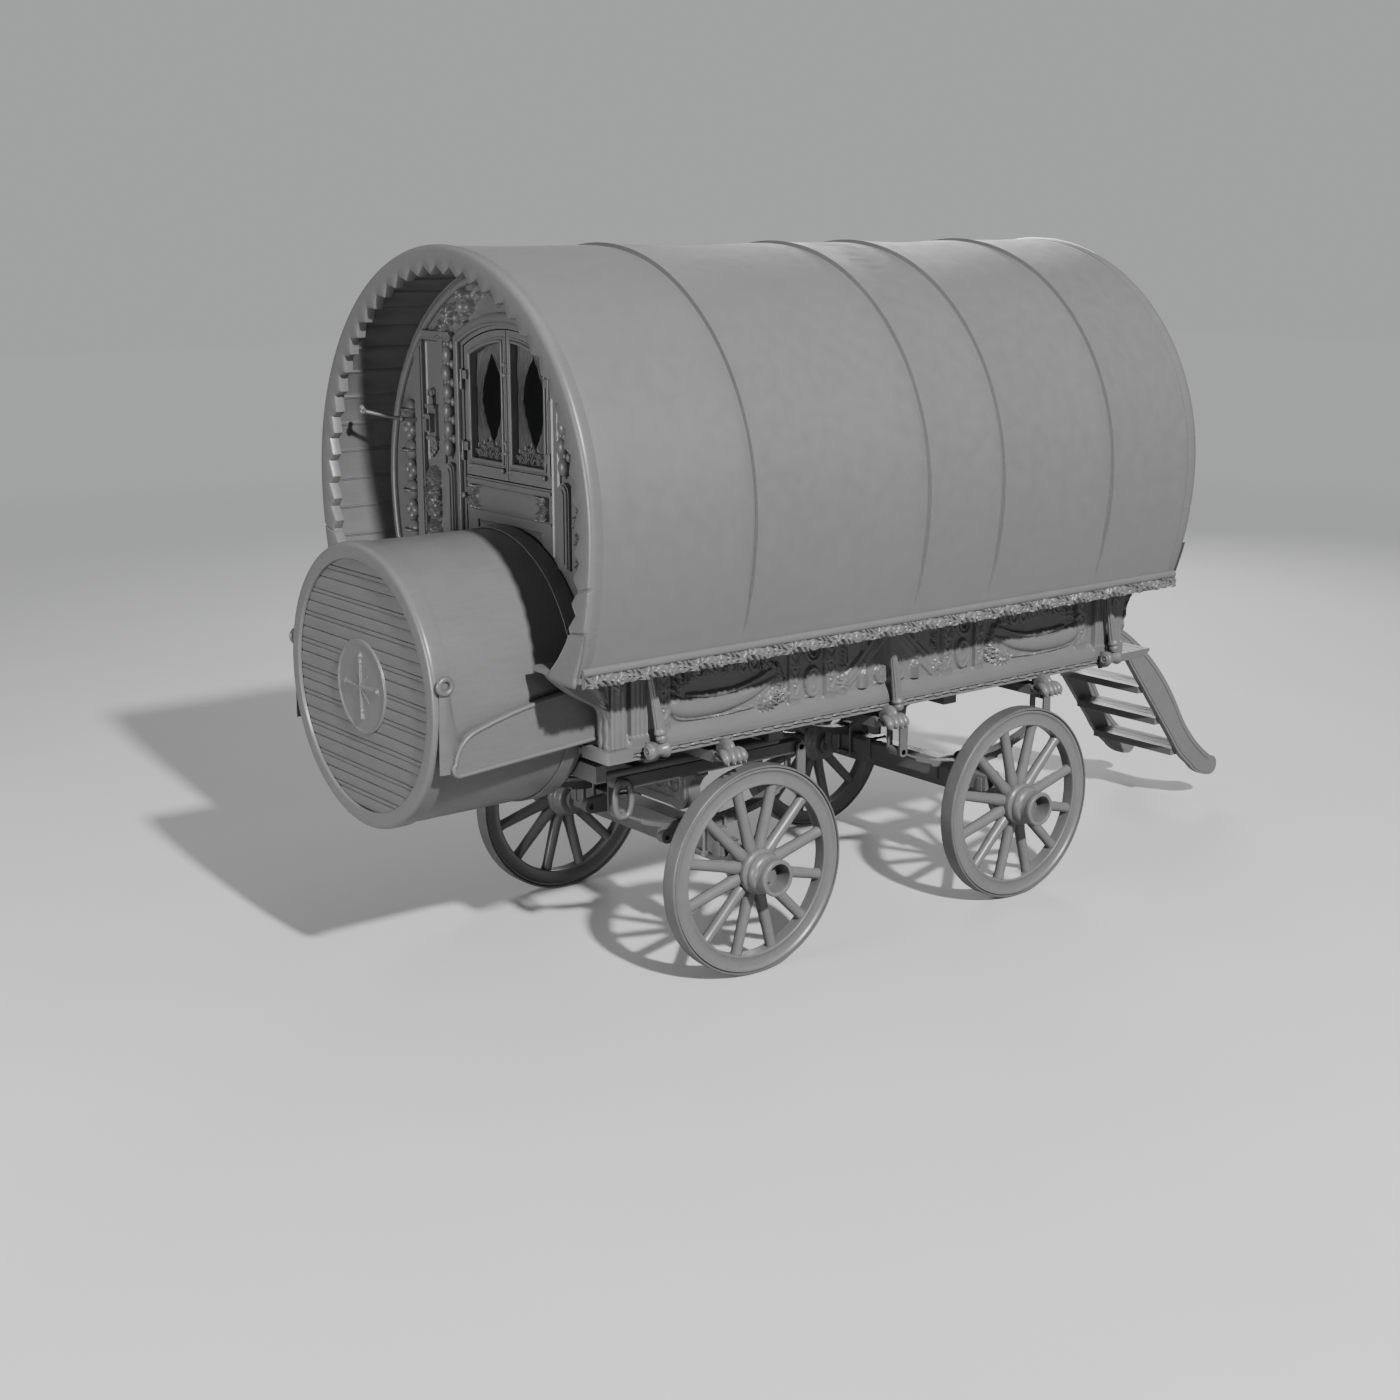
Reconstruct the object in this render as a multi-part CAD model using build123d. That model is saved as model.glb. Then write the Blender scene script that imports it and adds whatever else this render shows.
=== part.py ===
# Bow-top living wagon, in mm, built with the front axle at Y 0, the front towards -Y and the ground at Z 0.
import os
from math import cos, hypot, pi, radians, sin, sqrt

from build123d import *

# Wheels and axles
wheel_r = 480
tyre_w = 80
tyre_t = 12
felloe_w = 72
felloe_depth = 78
spoke_count = 12
spoke_foot_r = 30
spoke_tip_r = 25
track_half = 753
wheelbase = 1680
nave_in = 110
nave_out = 173
nave_r = 105
arm_r = 30
axle_bar = 50

# Springs and shackles
spring_x = 430
spring_half = 510
spring_w = 60
leaf_t = 10
leaf_steps = (510, 400, 290, 180)
bed_top = 600
eye_z = 761
eye_r = 23
pin_r = 11
shackle_top = 899
shackle_half_w = 46
shackle_band = 21
link_t = 12

# Turning gear and underframe
bearer_z = 926
ring_z = 942
ring_r = 380
ring_band = 80
kingpin_r = 20
ring_top = 966
cross_z = 1004
sill_z = 1050
floor_z = 1108
floor_top = 1133
bearer_w = 84
bearer_short = 615
paw_half = 52
rod_r = 16
rod_at = 575
headstock_w = 52
floor_tab = 40

# Body
wall_x = 735
wall_t = 35
front_y = -760
rear_y = 2430
post = 80
post_x = 665
ledge_z = 1522
ledge_top = 1545
ledge_front = -1090
strut_y = (-567, 806, 2296)

# Roof
canvas_front = -1084
canvas_rear = 2520
canvas_t = 8
spring_line = 2105
arch_r = 1075
eave_in = 107
eave_lip = 17
bow_y = (-1020, -265, 716, 1180, 1915, 2458)
bow_w = 44
bow_depth = 30
valance_t = 36
valance_cusp = 80
valance_tip = 114
tooth_count = 41
lining_depth = 72

# Doors
door_half = 342
door_drop = 345
split_up = 82
leaf_y = 28
sill_step = 15
rear_sill_step = 22
knuckle_r = 7
knuckle_off = 12

# Drum
drum_room = 59
drum_z = 1394
drum_front = -1518
drum_rear = -765
hoop_t = 8
hoop_w = 85
stave_t = 36
rim_w = 72
plank_count = 24

# Steps and rear porch
porch_rear = 2707
porch_half = 710
porch_low = 1070
porch_top = 1112
string_x = 300
string_t = 32
tread_count = 3
tread_deep = 190
tread_t = 40
steps_run = 1150
steps_drop = 962

# Clearances
fit = 0.3
run = 0.05
slide = 0.5
swing = 5

axle_z = wheel_r
eave_x = arch_r - eave_in
ledge_x = eave_x + eave_lip
door_arch_r = arch_r - door_drop
door_split = spring_line + split_up
drum_r = post_x - drum_room
head_r = drum_r - rim_w
medallion_r = drum_r / 3
bearer_y = (-0.105 * wheelbase, 0.143 * wheelbase, 0.467 * wheelbase, 0.8 * wheelbase, 1.087 * wheelbase)
paw_y = (bearer_y[0], bearer_y[2], bearer_y[4])
steps_rear = porch_rear + steps_run
shift_y = -(drum_front + steps_rear) / 2
low_r = ((arch_r - eave_x) ** 2 + (spring_line - ledge_top) ** 2) / (2 * (arch_r - eave_x))


# Flat outlines and simple solids
def trace(start, *steps):
    edges = []
    here = start
    for step in steps:
        if isinstance(step[0], tuple):
            edges.append(ThreePointArc(here, step[0], step[1]))
            here = step[1]
        else:
            edges.append(Line(here, step))
            here = step
    if here != start:
        edges.append(Line(here, start))
    return make_face(edges)


def box(x0, x1, y0, y1, z0, z1):
    return Pos((x0 + x1) / 2, (y0 + y1) / 2, (z0 + z1) / 2) * Box(x1 - x0, y1 - y0, z1 - z0)


def slab_yz(face, x0, x1):
    return extrude(Plane(origin=(x0, 0, 0), x_dir=(0, 1, 0), z_dir=(1, 0, 0)) * face, x1 - x0)


def slab_xz(face, y0, y1):
    return extrude(Plane(origin=(0, y1, 0), x_dir=(1, 0, 0), z_dir=(0, -1, 0)) * face, y1 - y0)


def slab_xy(face, z0, z1):
    return extrude(Plane(origin=(0, 0, z0)) * face, z1 - z0)


def rod_x(r, x0, x1, y, z):
    return Pos((x0 + x1) / 2, y, z) * Rot(0, 90, 0) * Cylinder(r, x1 - x0)


def rod_y(r, y0, y1, x, z):
    return Pos(x, (y0 + y1) / 2, z) * Rot(90, 0, 0) * Cylinder(r, y1 - y0)


def rod_z(r, z0, z1, x, y):
    return Pos(x, y, (z0 + z1) / 2) * Cylinder(r, z1 - z0)


def turned(face):
    return revolve(Plane.XZ * face, Axis.X)


def flipped(shape):
    return mirror(shape, Plane.YZ)


def both(shape):
    return [shape, flipped(shape)]


# The bow section of the roof, as an outline set in from the canvas by a given depth
def arch_x(depth, z):
    if z >= spring_line:
        return sqrt((arch_r - depth) ** 2 - (z - spring_line) ** 2)
    return arch_r - low_r + sqrt((low_r - depth) ** 2 - (spring_line - z) ** 2)


def arch_steps(depth, z0):
    r = arch_r - depth
    mid_z = (z0 + spring_line) / 2
    foot = arch_x(depth, z0)
    mid = arch_x(depth, mid_z)
    start = (foot, z0)
    steps = [
        ((mid, mid_z), (r, spring_line)),
        ((0, spring_line + r), (-r, spring_line)),
        ((-mid, mid_z), (-foot, z0)),
    ]
    return start, steps


def arch_face(depth, z0):
    start, steps = arch_steps(depth, z0)
    return trace(start, *steps)


# A point along the bow section, counted from its right foot to its left foot as 0 to 1
def arch_point(depth, share):
    r = arch_r - depth
    low = low_r - depth
    turn = sqrt(low ** 2 - (spring_line - ledge_top) ** 2)
    angle = radians(90) - atan_of(turn, spring_line - ledge_top)
    low_len = low * angle
    total = 2 * low_len + pi * r
    at = share * total
    if at < low_len:
        a = angle * (1 - at / low_len)
        return (arch_r - low_r + low * cos(a), spring_line - low * sin(a))
    if at > total - low_len:
        x, z = arch_point(depth, 1 - share)
        return (-x, z)
    a = (at - low_len) / r
    return (r * cos(a), spring_line + r * sin(a))


def atan_of(a, b):
    return Vector(b, a, 0).get_angle(Vector(1, 0, 0)) * pi / 180


# Wheels, made at the left and about the X axis
def wheel_parts():
    half = tyre_w / 2
    tyre_in = wheel_r - tyre_t
    tyre = turned(trace((-half, tyre_in), (half, tyre_in), (half, wheel_r), (-half, wheel_r)))
    felloe_out = tyre_in - fit
    felloe_in = felloe_out - felloe_depth
    fh = felloe_w / 2
    bevel = 9
    felloe = turned(trace(
        (-fh, felloe_out), (-fh, felloe_in + bevel), (bevel - fh, felloe_in),
        (fh - bevel, felloe_in), (fh, felloe_in + bevel), (fh, felloe_out)))
    bore = arm_r + fit
    nave = turned(trace(
        (-nave_in, bore), (-nave_in, 84), (-62, 88), (-54, nave_r), (54, nave_r), (62, 92), (98, 92),
        (106, 76), (142, 76), (148, 84), (nave_out, 84), (nave_out, 64), (70, 64), (70, bore)))
    reach = sqrt(felloe_in ** 2 - spoke_tip_r ** 2) - fit
    foot = nave_r - 12
    spoke = Pos(0, 0, (foot + reach) / 2) * Cone(spoke_foot_r, spoke_tip_r, reach - foot)
    centre = nave
    for k in range(spoke_count):
        centre += Rot(360 / spoke_count * (k + 0.5), 0, 0) * spoke
    return {"tyre": tyre, "felloes": felloe, "spoked_nave": centre}


# Iron axle with collars, arms and end nuts
def axle(y):
    shoulder = track_half - nave_in - swing
    bar = Pos(0, 0, axle_z) * Box(2 * shoulder - 50, axle_bar, axle_bar)
    half = rod_x(52, shoulder - 25, shoulder, 0, axle_z)
    half += rod_x(arm_r, shoulder, track_half + 118, 0, axle_z)
    nut = Rot(0, 90, 0) * extrude(RegularPolygon(46, 6), 30)
    half += Pos(track_half + 75, 0, axle_z) * nut
    return Pos(0, y, 0) * (bar + half + flipped(half))


# Leaf springs: one stepped outline of arcs, with rolled eyes
def springs(y):
    top = bed_top + leaf_t * len(leaf_steps)
    drop = eye_z + leaf_t / 2 - top
    bend = (spring_half ** 2 + drop ** 2) / (2 * drop)
    centre_z = top + bend

    def on(r, along):
        return (along, centre_z - sqrt(r * r - along * along))

    steps = [(on(bend, 0), on(bend, spring_half))]
    r = bend
    for k, reach in enumerate(leaf_steps):
        r += leaf_t
        nearer = leaf_steps[k + 1] if k + 1 < len(leaf_steps) else None
        steps.append(on(r, reach))
        if nearer:
            steps.append((on(r, (reach + nearer) / 2), on(r, nearer)))
    last = leaf_steps[-1]
    steps.append((on(r, 0), on(r, -last)))
    for k in range(len(leaf_steps) - 1, -1, -1):
        reach = leaf_steps[k]
        steps.append(on(r - leaf_t, -reach))
        r -= leaf_t
        if k > 0:
            longer = leaf_steps[k - 1]
            steps.append((on(r, -(reach + longer) / 2), on(r, -longer)))
    half = spring_w / 2
    pack = slab_yz(trace(on(bend, -spring_half), *steps), spring_x - half, spring_x + half)
    pack += box(spring_x - half - 8, spring_x + half + 8, -55, 55, top, top + 18)
    for end in (-spring_half, spring_half):
        pack += rod_x(eye_r, spring_x - half, spring_x + half, end, eye_z)
    for end in (-spring_half, spring_half):
        pack -= rod_x(pin_r + run, spring_x - half - 1, spring_x + half + 1, end, eye_z)
    return Pos(0, y, 0) * Compound(both(flat_bottom(pack)))


# The bottom leaf is seated flat on the axle bed
def flat_bottom(pack):
    return pack - box(0, 2 * spring_x, -spring_half, spring_half, bed_top - bed_top / 10, bed_top + fit)


# Oval shackles: two ring links and two pins each
def shackles(y):
    mid = shackle_half_w - shackle_band / 2
    low = eye_z + mid
    high = shackle_top - mid
    outer = trace(
        (-shackle_half_w, low), ((0, low - shackle_half_w), (shackle_half_w, low)), (shackle_half_w, high),
        ((0, high + shackle_half_w), (-shackle_half_w, high)))
    hole = shackle_half_w - shackle_band
    inner = trace(
        (-hole, low), ((0, low - hole), (hole, low)), (hole, high), ((0, high + hole), (-hole, high)))
    inside = spring_w / 2 + fit
    link = slab_yz(outer - inner, spring_x + inside, spring_x + inside + link_t)
    other = slab_yz(outer - inner, spring_x - inside - link_t, spring_x - inside)
    reach = inside + link_t + 6
    one = link + other
    for z in (eye_z, shackle_top):
        one += rod_x(pin_r, spring_x - reach, spring_x + reach, 0, z)
    made = []
    for end in (-spring_half, spring_half):
        made += both(Pos(0, y + end, 0) * one)
    return Compound(made)


# Fore-carriage
def front_axle_bed():
    low = axle_z + axle_bar / 2 + fit
    end = 596
    face = trace(
        (-end, low), (end, low), (end, low + 40), ((540, low + 62), (486, bed_top)), (-486, bed_top),
        ((-540, low + 62), (-end, low + 40)))
    return slab_xz(face, -52, 52)


def fore_frame():
    half = spring_w / 2
    z0 = bearer_z - 58
    end = spring_half + 34
    nose = trace(
        (-end + 24, z0), (end - 24, z0), ((end, bearer_z - 27), (end - 14, bearer_z)),
        (-end + 14, bearer_z), ((-end, bearer_z - 27), (-end + 24, z0)))
    bearer = slab_yz(nose, spring_x - half, spring_x + half)
    frame = bearer + flipped(bearer)
    for y, wide in ((-330, 70), (0, 120), (330, 70)):
        frame += box(-spring_x, spring_x, y - wide / 2, y + wide / 2, z0, bearer_z)
    frame -= rod_z(kingpin_r + fit, z0 - 1, bearer_z + 1, 0, 0)
    for end in (-spring_half, spring_half):
        frame -= rod_x(pin_r + run, -spring_x - half - 1, spring_x + half + 1, end, shackle_top)
    return frame


def front_bolster():
    top = bearer_z - 58
    low = bed_top + 40
    face = trace(
        (-250, low), ((0, low + 26), (250, low)), ((318, low + 58), (326, low + 120)),
        ((352, top - 66), (384, top - 40)), (384, top), (-384, top), (-384, top - 40),
        ((-352, top - 66), (-326, low + 120)), ((-318, low + 58), (-250, low)))
    return slab_xz(face, -34, 34)


def lower_ring():
    plate = slab_xy(Circle(ring_r) - Circle(ring_r - ring_band), bearer_z, ring_z - slide)
    return plate


def shaft_irons():
    z = bed_top - 48
    y = -150
    half = 22
    x = 300
    arm = trace((-52 - fit, z - 40), (-52 - fit, z + 40), (y, z + 34), ((y - 34, z), (y, z - 34)))
    iron = slab_yz(arm, x - half, x + half)
    iron -= rod_x(16, x - half - 1, x + half + 1, y, z)
    return Compound(both(iron))


# Rear running gear
def rear_axle_bed():
    low = axle_z + axle_bar / 2 + fit
    end = 596
    beam = box(-end, end, -50, 50, low, bed_top)
    lower = [e for e in beam.edges().filter_by(Axis.X)]
    beam = chamfer([e for e in lower if e.center().Z > low + 1], 18)
    return Pos(0, wheelbase, 0) * beam


def spring_hangers():
    half = spring_w / 2
    waist = (sill_z + shackle_top) / 2
    made = []
    for end in (-spring_half, spring_half):
        face = trace(
            (-70, sill_z), (70, sill_z), ((36, waist), (30, shackle_top)),
            ((0, shackle_top - 30), (-30, shackle_top)), ((-36, waist), (-70, sill_z)))
        block = slab_yz(face, spring_x - half, spring_x + half)
        block -= rod_x(pin_r + run, spring_x - half - 1, spring_x + half + 1, 0, shackle_top)
        made += both(Pos(0, wheelbase + end, 0) * block)
    return Compound(made)


# Underframe
def turntable_ring():
    face = Circle(ring_r) - Circle(ring_r - ring_band)
    ring = slab_xy(face, ring_z, ring_top)
    ring += box(-ring_r + 10, ring_r - 10, -50, 50, ring_z, ring_top)
    ring += rod_z(kingpin_r, bearer_z - 56, ring_top, 0, 0)
    return ring


# Cross bearers, packing over the turning ring, a headstock with two rods, long sills and the porch's bars
def underframe():
    half = bearer_w / 2
    frame = None
    for y in bearer_y:
        end = wall_x if y in paw_y else bearer_short
        bar = box(-end, end, y - half, y + half, cross_z, sill_z)
        frame = bar if frame is None else frame + bar
    for y in bearer_y[:2]:
        frame += box(-ring_r + 30, ring_r - 30, y - half, y + half, ring_top, cross_z)
    head_y = front_y + 8
    rod_z0 = cross_z - rod_r + 2
    frame += box(-bearer_short, bearer_short, head_y, head_y + headstock_w, rod_z0 - rod_r, sill_z)
    porch_y = wheelbase + spring_half + 85
    porch_end = porch_rear - 12
    side = box(spring_x - 40, spring_x + 40, front_y + 10, rear_y + 8, sill_z, floor_z)
    side += box(spring_x - 40, spring_x + 40, porch_y, porch_end, porch_low - 58, sill_z)
    side += box(spring_x - 40, spring_x + 40, rear_y, porch_end, sill_z, porch_low)
    side += rod_y(rod_r, head_y + 8, bearer_y[1] + half, rod_at, rod_z0)
    return frame + side + flipped(side)


def paws():
    made = []
    for y in paw_y:
        x0 = wall_x + fit
        face = trace(
            (x0, cross_z + 4), (x0 + 68, cross_z + 4), ((x0 + 92, cross_z + 22), (x0 + 74, cross_z + 46)),
            ((x0 + 40, cross_z + 62), (x0 + 20, floor_z - 20)), (x0, floor_z - 20))
        paw = slab_xz(face, y - paw_half, y + paw_half)
        for k in range(4):
            paw += rod_x(13, x0 + 30, x0 + 94, y + 25 * (k - 1.5), cross_z + 19)
        made += both(paw)
    return made


# Body
def sill_mouldings():
    x0 = wall_x + fit
    face = trace(
        (x0, floor_z - 18), (x0 + 8, floor_z - 18), ((x0 + 22, floor_z + 3), (x0 + 8, floor_top - fit)),
        (x0, floor_top - fit))
    return Compound(both(slab_xz(face, front_y, rear_y)))


def side_wall():
    y0 = front_y - 10 + post + fit
    y1 = rear_y - post - fit
    wall = box(wall_x - wall_t, wall_x, y0, y1, floor_top, ledge_z)
    bays = 6
    bay = (y1 - y0 - 70) / bays
    for k in range(bays):
        a = y0 + 35 + bay * k + 30
        wall -= box(wall_x - 12, wall_x + 1, a, a + bay - 60, floor_top + 60, ledge_z - 55)
    return wall


def corner_posts():
    made = []
    for y, way in ((front_y - 10, -1), (rear_y - post, 1)):
        leg = box(post_x, post_x + post, y, y + post, floor_top, ledge_z)
        outer = (y - 8, y + post) if way < 0 else (y, y + post + 8)
        foot = y - 24 if way < 0 else y
        leg += box(post_x, post_x + post + 8, foot, outer[1], floor_top, floor_top + 58)
        if way < 0:
            leg += box(post_x - 20, post_x + 2, foot, front_y - fit, floor_top, floor_top + 58)
        leg += box(post_x, post_x + post + 8, outer[0], outer[1], ledge_z - 46, ledge_z)
        made += both(leg)
    return Compound(made)


def doorway(z0, set_in):
    half = door_half - set_in
    r = door_arch_r - set_in
    side_z = spring_line + sqrt(r * r - half * half)
    return trace((-half, z0), (half, z0), (half, side_z), ((0, spring_line + r), (-half, side_z)))


def end_wall(y0, y1, threshold):
    edge = post_x - fit
    start, steps = arch_steps(canvas_t + slide, ledge_top + fit)
    face = trace((edge, floor_top), (edge, start[1]), start, *steps, (-edge, start[1]), (-edge, floor_top))
    return slab_xz(face - doorway(floor_top + threshold, 0), y0, y1)


# Fixed hinge knuckles of a door, as (z of the joint between fixed and moving knuckle) on one axis
def fixed_knuckles(x, y, wall_face, levels):
    way = 1 if x > 0 else -1
    made = None
    for z in levels:
        pin = rod_z(knuckle_r, z - 40, z - slide, x, y)
        plate = box(*sorted((x, x + way * 52)), *sorted((y, wall_face)), z - 34, z - 6)
        made = pin + plate if made is None else made + pin + plate
    return made


def moving_knuckles(x, y, leaf_face, levels):
    way = -1 if x > 0 else 1
    made = None
    for z in levels:
        pin = rod_z(knuckle_r, z, z + 50, x, y)
        plate = box(*sorted((x, x + way * 40)), *sorted((y, leaf_face)), z + 6, z + 44)
        made = pin + plate if made is None else made + pin + plate
    return made


hinge_x = door_half - 3
front_inner = front_y + wall_t
casement_axis_y = front_y - knuckle_off
lower_axis_y = front_inner + knuckle_off
rear_axis_y = rear_y + knuckle_off
casement_levels = (door_split + 103, door_split + 413)
lower_levels = (floor_top + 165, door_split - 227)
rear_levels = (floor_top + 225, floor_top + 805, door_split + 293)
pane_x0 = 40
pane_x1 = door_half - 59
pane_z0 = door_split + 81
pane_r = door_arch_r - 58
leaf_front = front_y + 4
rear_leaf_face = rear_y - 4


def front_wall():
    wall = end_wall(front_y, front_inner, sill_step)
    wall += fixed_knuckles(hinge_x, casement_axis_y, front_y, casement_levels)
    wall += fixed_knuckles(-hinge_x, casement_axis_y, front_y, casement_levels)
    wall += fixed_knuckles(hinge_x, lower_axis_y, front_inner, lower_levels)
    return wall


def rear_wall():
    wall = end_wall(rear_y - wall_t, rear_y, rear_sill_step)
    return wall + fixed_knuckles(-hinge_x, rear_axis_y, rear_y, rear_levels)


def front_door():
    half = door_half - swing
    z0 = floor_top + sill_step + swing
    z1 = door_split - swing / 2
    y0 = leaf_front
    y1 = leaf_front + leaf_y
    leaf = box(-half, half, y0, y1, z0, z1)
    tall = z1 - z0
    for a, b in ((0.09, 0.44), (0.52, 0.82)):
        leaf -= box(-half + 80, half - 80, y0 - 1, y0 + 10, z0 + a * tall, z0 + b * tall)
    return leaf + moving_knuckles(hinge_x, lower_axis_y, y1, lower_levels)


# A pane whose head follows the door arch
def pane_face(set_in):
    x0 = pane_x0 + set_in
    x1 = pane_x1 - set_in
    z0 = pane_z0 + set_in
    r = pane_r - set_in
    head = [(x, spring_line + sqrt(r * r - x * x)) for x in (x1, (x0 + x1) / 2, x0)]
    return trace((x0, z0), (x1, z0), head[0], (head[1], head[2]))


def casement():
    face = doorway(door_split + swing / 2, swing)
    leaf = slab_xz(face, leaf_front, leaf_front + leaf_y)
    leaf -= box(-door_half, swing / 2, front_y - 60, front_y + 60, door_split - 60, spring_line + arch_r)
    leaf -= slab_xz(pane_face(0), leaf_front - 1, leaf_front + leaf_y + 1)
    return leaf + moving_knuckles(hinge_x, casement_axis_y, leaf_front, casement_levels)


def casement_glass():
    return slab_xz(pane_face(fit), leaf_front + 20, leaf_front + 24)


# A curtain behind its pane, parted in the shape of a long lens
def curtain():
    y0 = leaf_front + leaf_y + fit
    face = pane_face(-12)
    mid = (pane_x0 + pane_x1) / 2
    top = spring_line + sqrt(pane_r ** 2 - mid ** 2)
    tall = top - pane_z0
    gap = 0.36 * (pane_x1 - pane_x0)
    knee = pane_z0 + 0.54 * tall
    foot = (mid, pane_z0 + 0.14 * tall)
    apex = (mid, pane_z0 + 0.93 * tall)
    face -= trace(foot, ((mid + gap, knee), apex), ((mid - gap, knee), foot))
    return slab_xz(face, y0, y0 + 9)


def rear_door():
    z0 = floor_top + rear_sill_step
    leaf = slab_xz(doorway(z0 + swing, swing), rear_leaf_face - leaf_y, rear_leaf_face)
    leaf -= slab_xz(rear_pane_face(0), rear_leaf_face - leaf_y - 1, rear_leaf_face + 1)
    tall = door_split - z0
    half = door_half - 90
    y0 = rear_leaf_face - 10
    for a, b in ((0.09, 0.44), (0.52, 0.84)):
        leaf -= box(-half, half, y0, rear_leaf_face + 1, z0 + a * tall, z0 + b * tall)
    return leaf + moving_knuckles(-hinge_x, rear_axis_y, rear_leaf_face, rear_levels)


def rear_pane_face(set_in):
    half = door_half - 143 - set_in
    z0 = door_split - 37 + set_in
    top = spring_line + door_arch_r - 185
    side = top - 130
    return trace((-half, z0), (half, z0), (half, side), ((0, top - set_in), (-half, side)))


def rear_glass():
    return slab_xz(rear_pane_face(fit), rear_leaf_face - 18, rear_leaf_face - 14)


def porch_brackets():
    x0 = post_x + 10
    x1 = post_x + 75
    y = front_y - 10 - fit
    cap_z = ledge_z - 46 - fit
    front = trace(
        (y, floor_top + 62), ((y - 54, ledge_z - 208), (y - 211, ledge_z - 80)),
        ((y - 240, ledge_z - 70), (y - 268, ledge_z - 76)), ((y - 290, ledge_z - 56), (y - 276, ledge_z - 32)),
        (y - 276, ledge_z - fit), (y - 8, ledge_z - fit), (y - 8, cap_z), (y, cap_z))
    rear = rear_y + fit
    back = trace(
        (rear, floor_top + 62), ((rear + 26, ledge_z - 205), (rear + 70, ledge_z - 90)),
        ((rear + 82, ledge_z - 76), (rear + 84, ledge_z - 58)), (rear + 84, ledge_z - fit),
        (rear + 8, ledge_z - fit), (rear + 8, cap_z), (rear, cap_z))
    a = slab_yz(front, x0, x1)
    b = slab_yz(back, x0, x1)
    return Compound(both(a) + both(b))


def ledges():
    board = box(post_x, ledge_x, ledge_front, canvas_rear + 14, ledge_z, ledge_top)
    return Compound(both(board))


def eaves_mouldings():
    x0 = ledge_x + fit
    face = trace(
        (x0, ledge_z - 4), (x0 + 10, ledge_z - 4), ((x0 + 26, ledge_z + 26), (x0 + 10, ledge_z + 56)),
        (x0, ledge_z + 56))
    return Compound(both(slab_xz(face, canvas_front + 8, canvas_rear - 8)))


def corbels():
    made = []
    for y in (strut_y[0], strut_y[2]):
        x0 = wall_x + 24
        face = trace(
            (x0, floor_top - 70), ((x0 + 34, floor_top - 44), (x0 + 76, floor_top - 20)),
            ((x0 + 92, floor_top + 8), (x0 + 70, floor_top + 30)), (x0, floor_top + 30))
        roll = slab_xz(face, y - 30, y + 30)
        made += both(roll + box(wall_x + fit, x0 + 2, y - 30, y + 30, floor_top + fit, floor_top + 30))
    return made


# Turned struts lean in from their feet to the eaves
def struts():
    made = []
    for y, foot_z in zip(strut_y, (floor_top + 30, floor_z - 20, floor_top + 30)):
        foot_x = wall_x + (62 if foot_z > floor_z else 53)
        top_x = wall_x + 36
        rise = ledge_z - foot_z
        long = hypot(foot_x - top_x, rise) + 40
        face = trace(
            (-20, 0), (-20, 24), (34, 24), (44, 15), (60, 22), (long - 112, 17), (long - 100, 25),
            (long - 84, 16), (long - 60, 24), (long, 24), (long, 0))
        spindle = turned(face)
        lean = Vector(rise, 0, foot_x - top_x).get_angle(Vector(1, 0, 0))
        spindle = Pos(foot_x, y, foot_z) * Rot(0, -90 - lean, 0) * spindle
        keep = box(wall_x - 60, wall_x + 160, y - 60, y + 60, foot_z + fit, ledge_z - fit)
        made += both(spindle & keep)
    return Compound(made)


# Roof; the boards that line its front stand on the first bow
def canvas_cover():
    face = arch_face(0, ledge_top) - arch_face(canvas_t, ledge_top)
    return slab_xz(face, canvas_front, canvas_rear)


def roof_bows():
    made = []
    outer = canvas_t + slide
    for y in bow_y:
        face = arch_face(outer, ledge_top) - arch_face(outer + bow_depth, ledge_top)
        made.append(slab_xz(face, y - bow_w / 2, y + bow_w / 2))
    rim = arch_face(outer + bow_depth - 6, ledge_top) - arch_face(lining_depth, ledge_top)
    made[0] += slab_xz(rim, bow_y[0] - bow_w / 2, front_y - slide)
    return Compound(made)


# A fringe of pointed teeth along the bow section
def valance(y0):
    start, steps = arch_steps(canvas_t + slide, ledge_top)
    teeth = [arch_point(valance_cusp, 1)]
    for k in range(tooth_count, 0, -1):
        teeth.append(arch_point(valance_tip, (k - 0.5) / tooth_count))
        teeth.append(arch_point(valance_cusp, (k - 1) / tooth_count))
    return slab_xz(trace(start, *steps, *teeth), y0, y0 + valance_t)


# Drum and the cheeks that carry it
def drum_barrel():
    outer = drum_r - hoop_t - fit
    face = Circle(outer) - Circle(outer - stave_t)
    return slab_drum(face, drum_front + 18 + fit, drum_rear)


def slab_drum(face, y0, y1):
    return Pos(0, 0, drum_z) * slab_xz(face, y0, y1)


def drum_hoops():
    sleeve = Circle(drum_r) - Circle(drum_r - hoop_t)
    front = slab_drum(sleeve, drum_front, drum_front + hoop_w)
    front += slab_drum(Circle(drum_r) - Circle(head_r), drum_front, drum_front + 18)
    rear = slab_drum(sleeve, drum_rear - hoop_w, drum_rear)
    return Compound([front, rear])


def drum_heads():
    inner = drum_r - hoop_t - fit - stave_t - fit
    front = slab_drum(Circle(inner), drum_front + 18 + fit, drum_front + 52)
    pitch = 2 * head_r / plank_count
    for k in range(1, plank_count):
        z = drum_z - head_r + pitch * k
        front -= box(-head_r, head_r, drum_front, drum_front + 24, z - 2.5, z + 2.5)
    rear = slab_drum(Circle(inner), drum_rear - 40, drum_rear - 10)
    return Compound([front, rear])


def drum_medallion():
    y1 = drum_front + 18
    disc = slab_drum(Circle(medallion_r), drum_front + 4, y1)
    disc -= slab_drum(Circle(medallion_r - 22), drum_front, drum_front + 10)
    for k in range(4):
        arm = Rot(0, 0, 90 * k) * (Pos(0, 75) * Rectangle(34, 150) + Pos(0, 150) * Circle(24))
        disc += slab_drum(arm, drum_front, drum_front + 12)
    return disc


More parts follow.
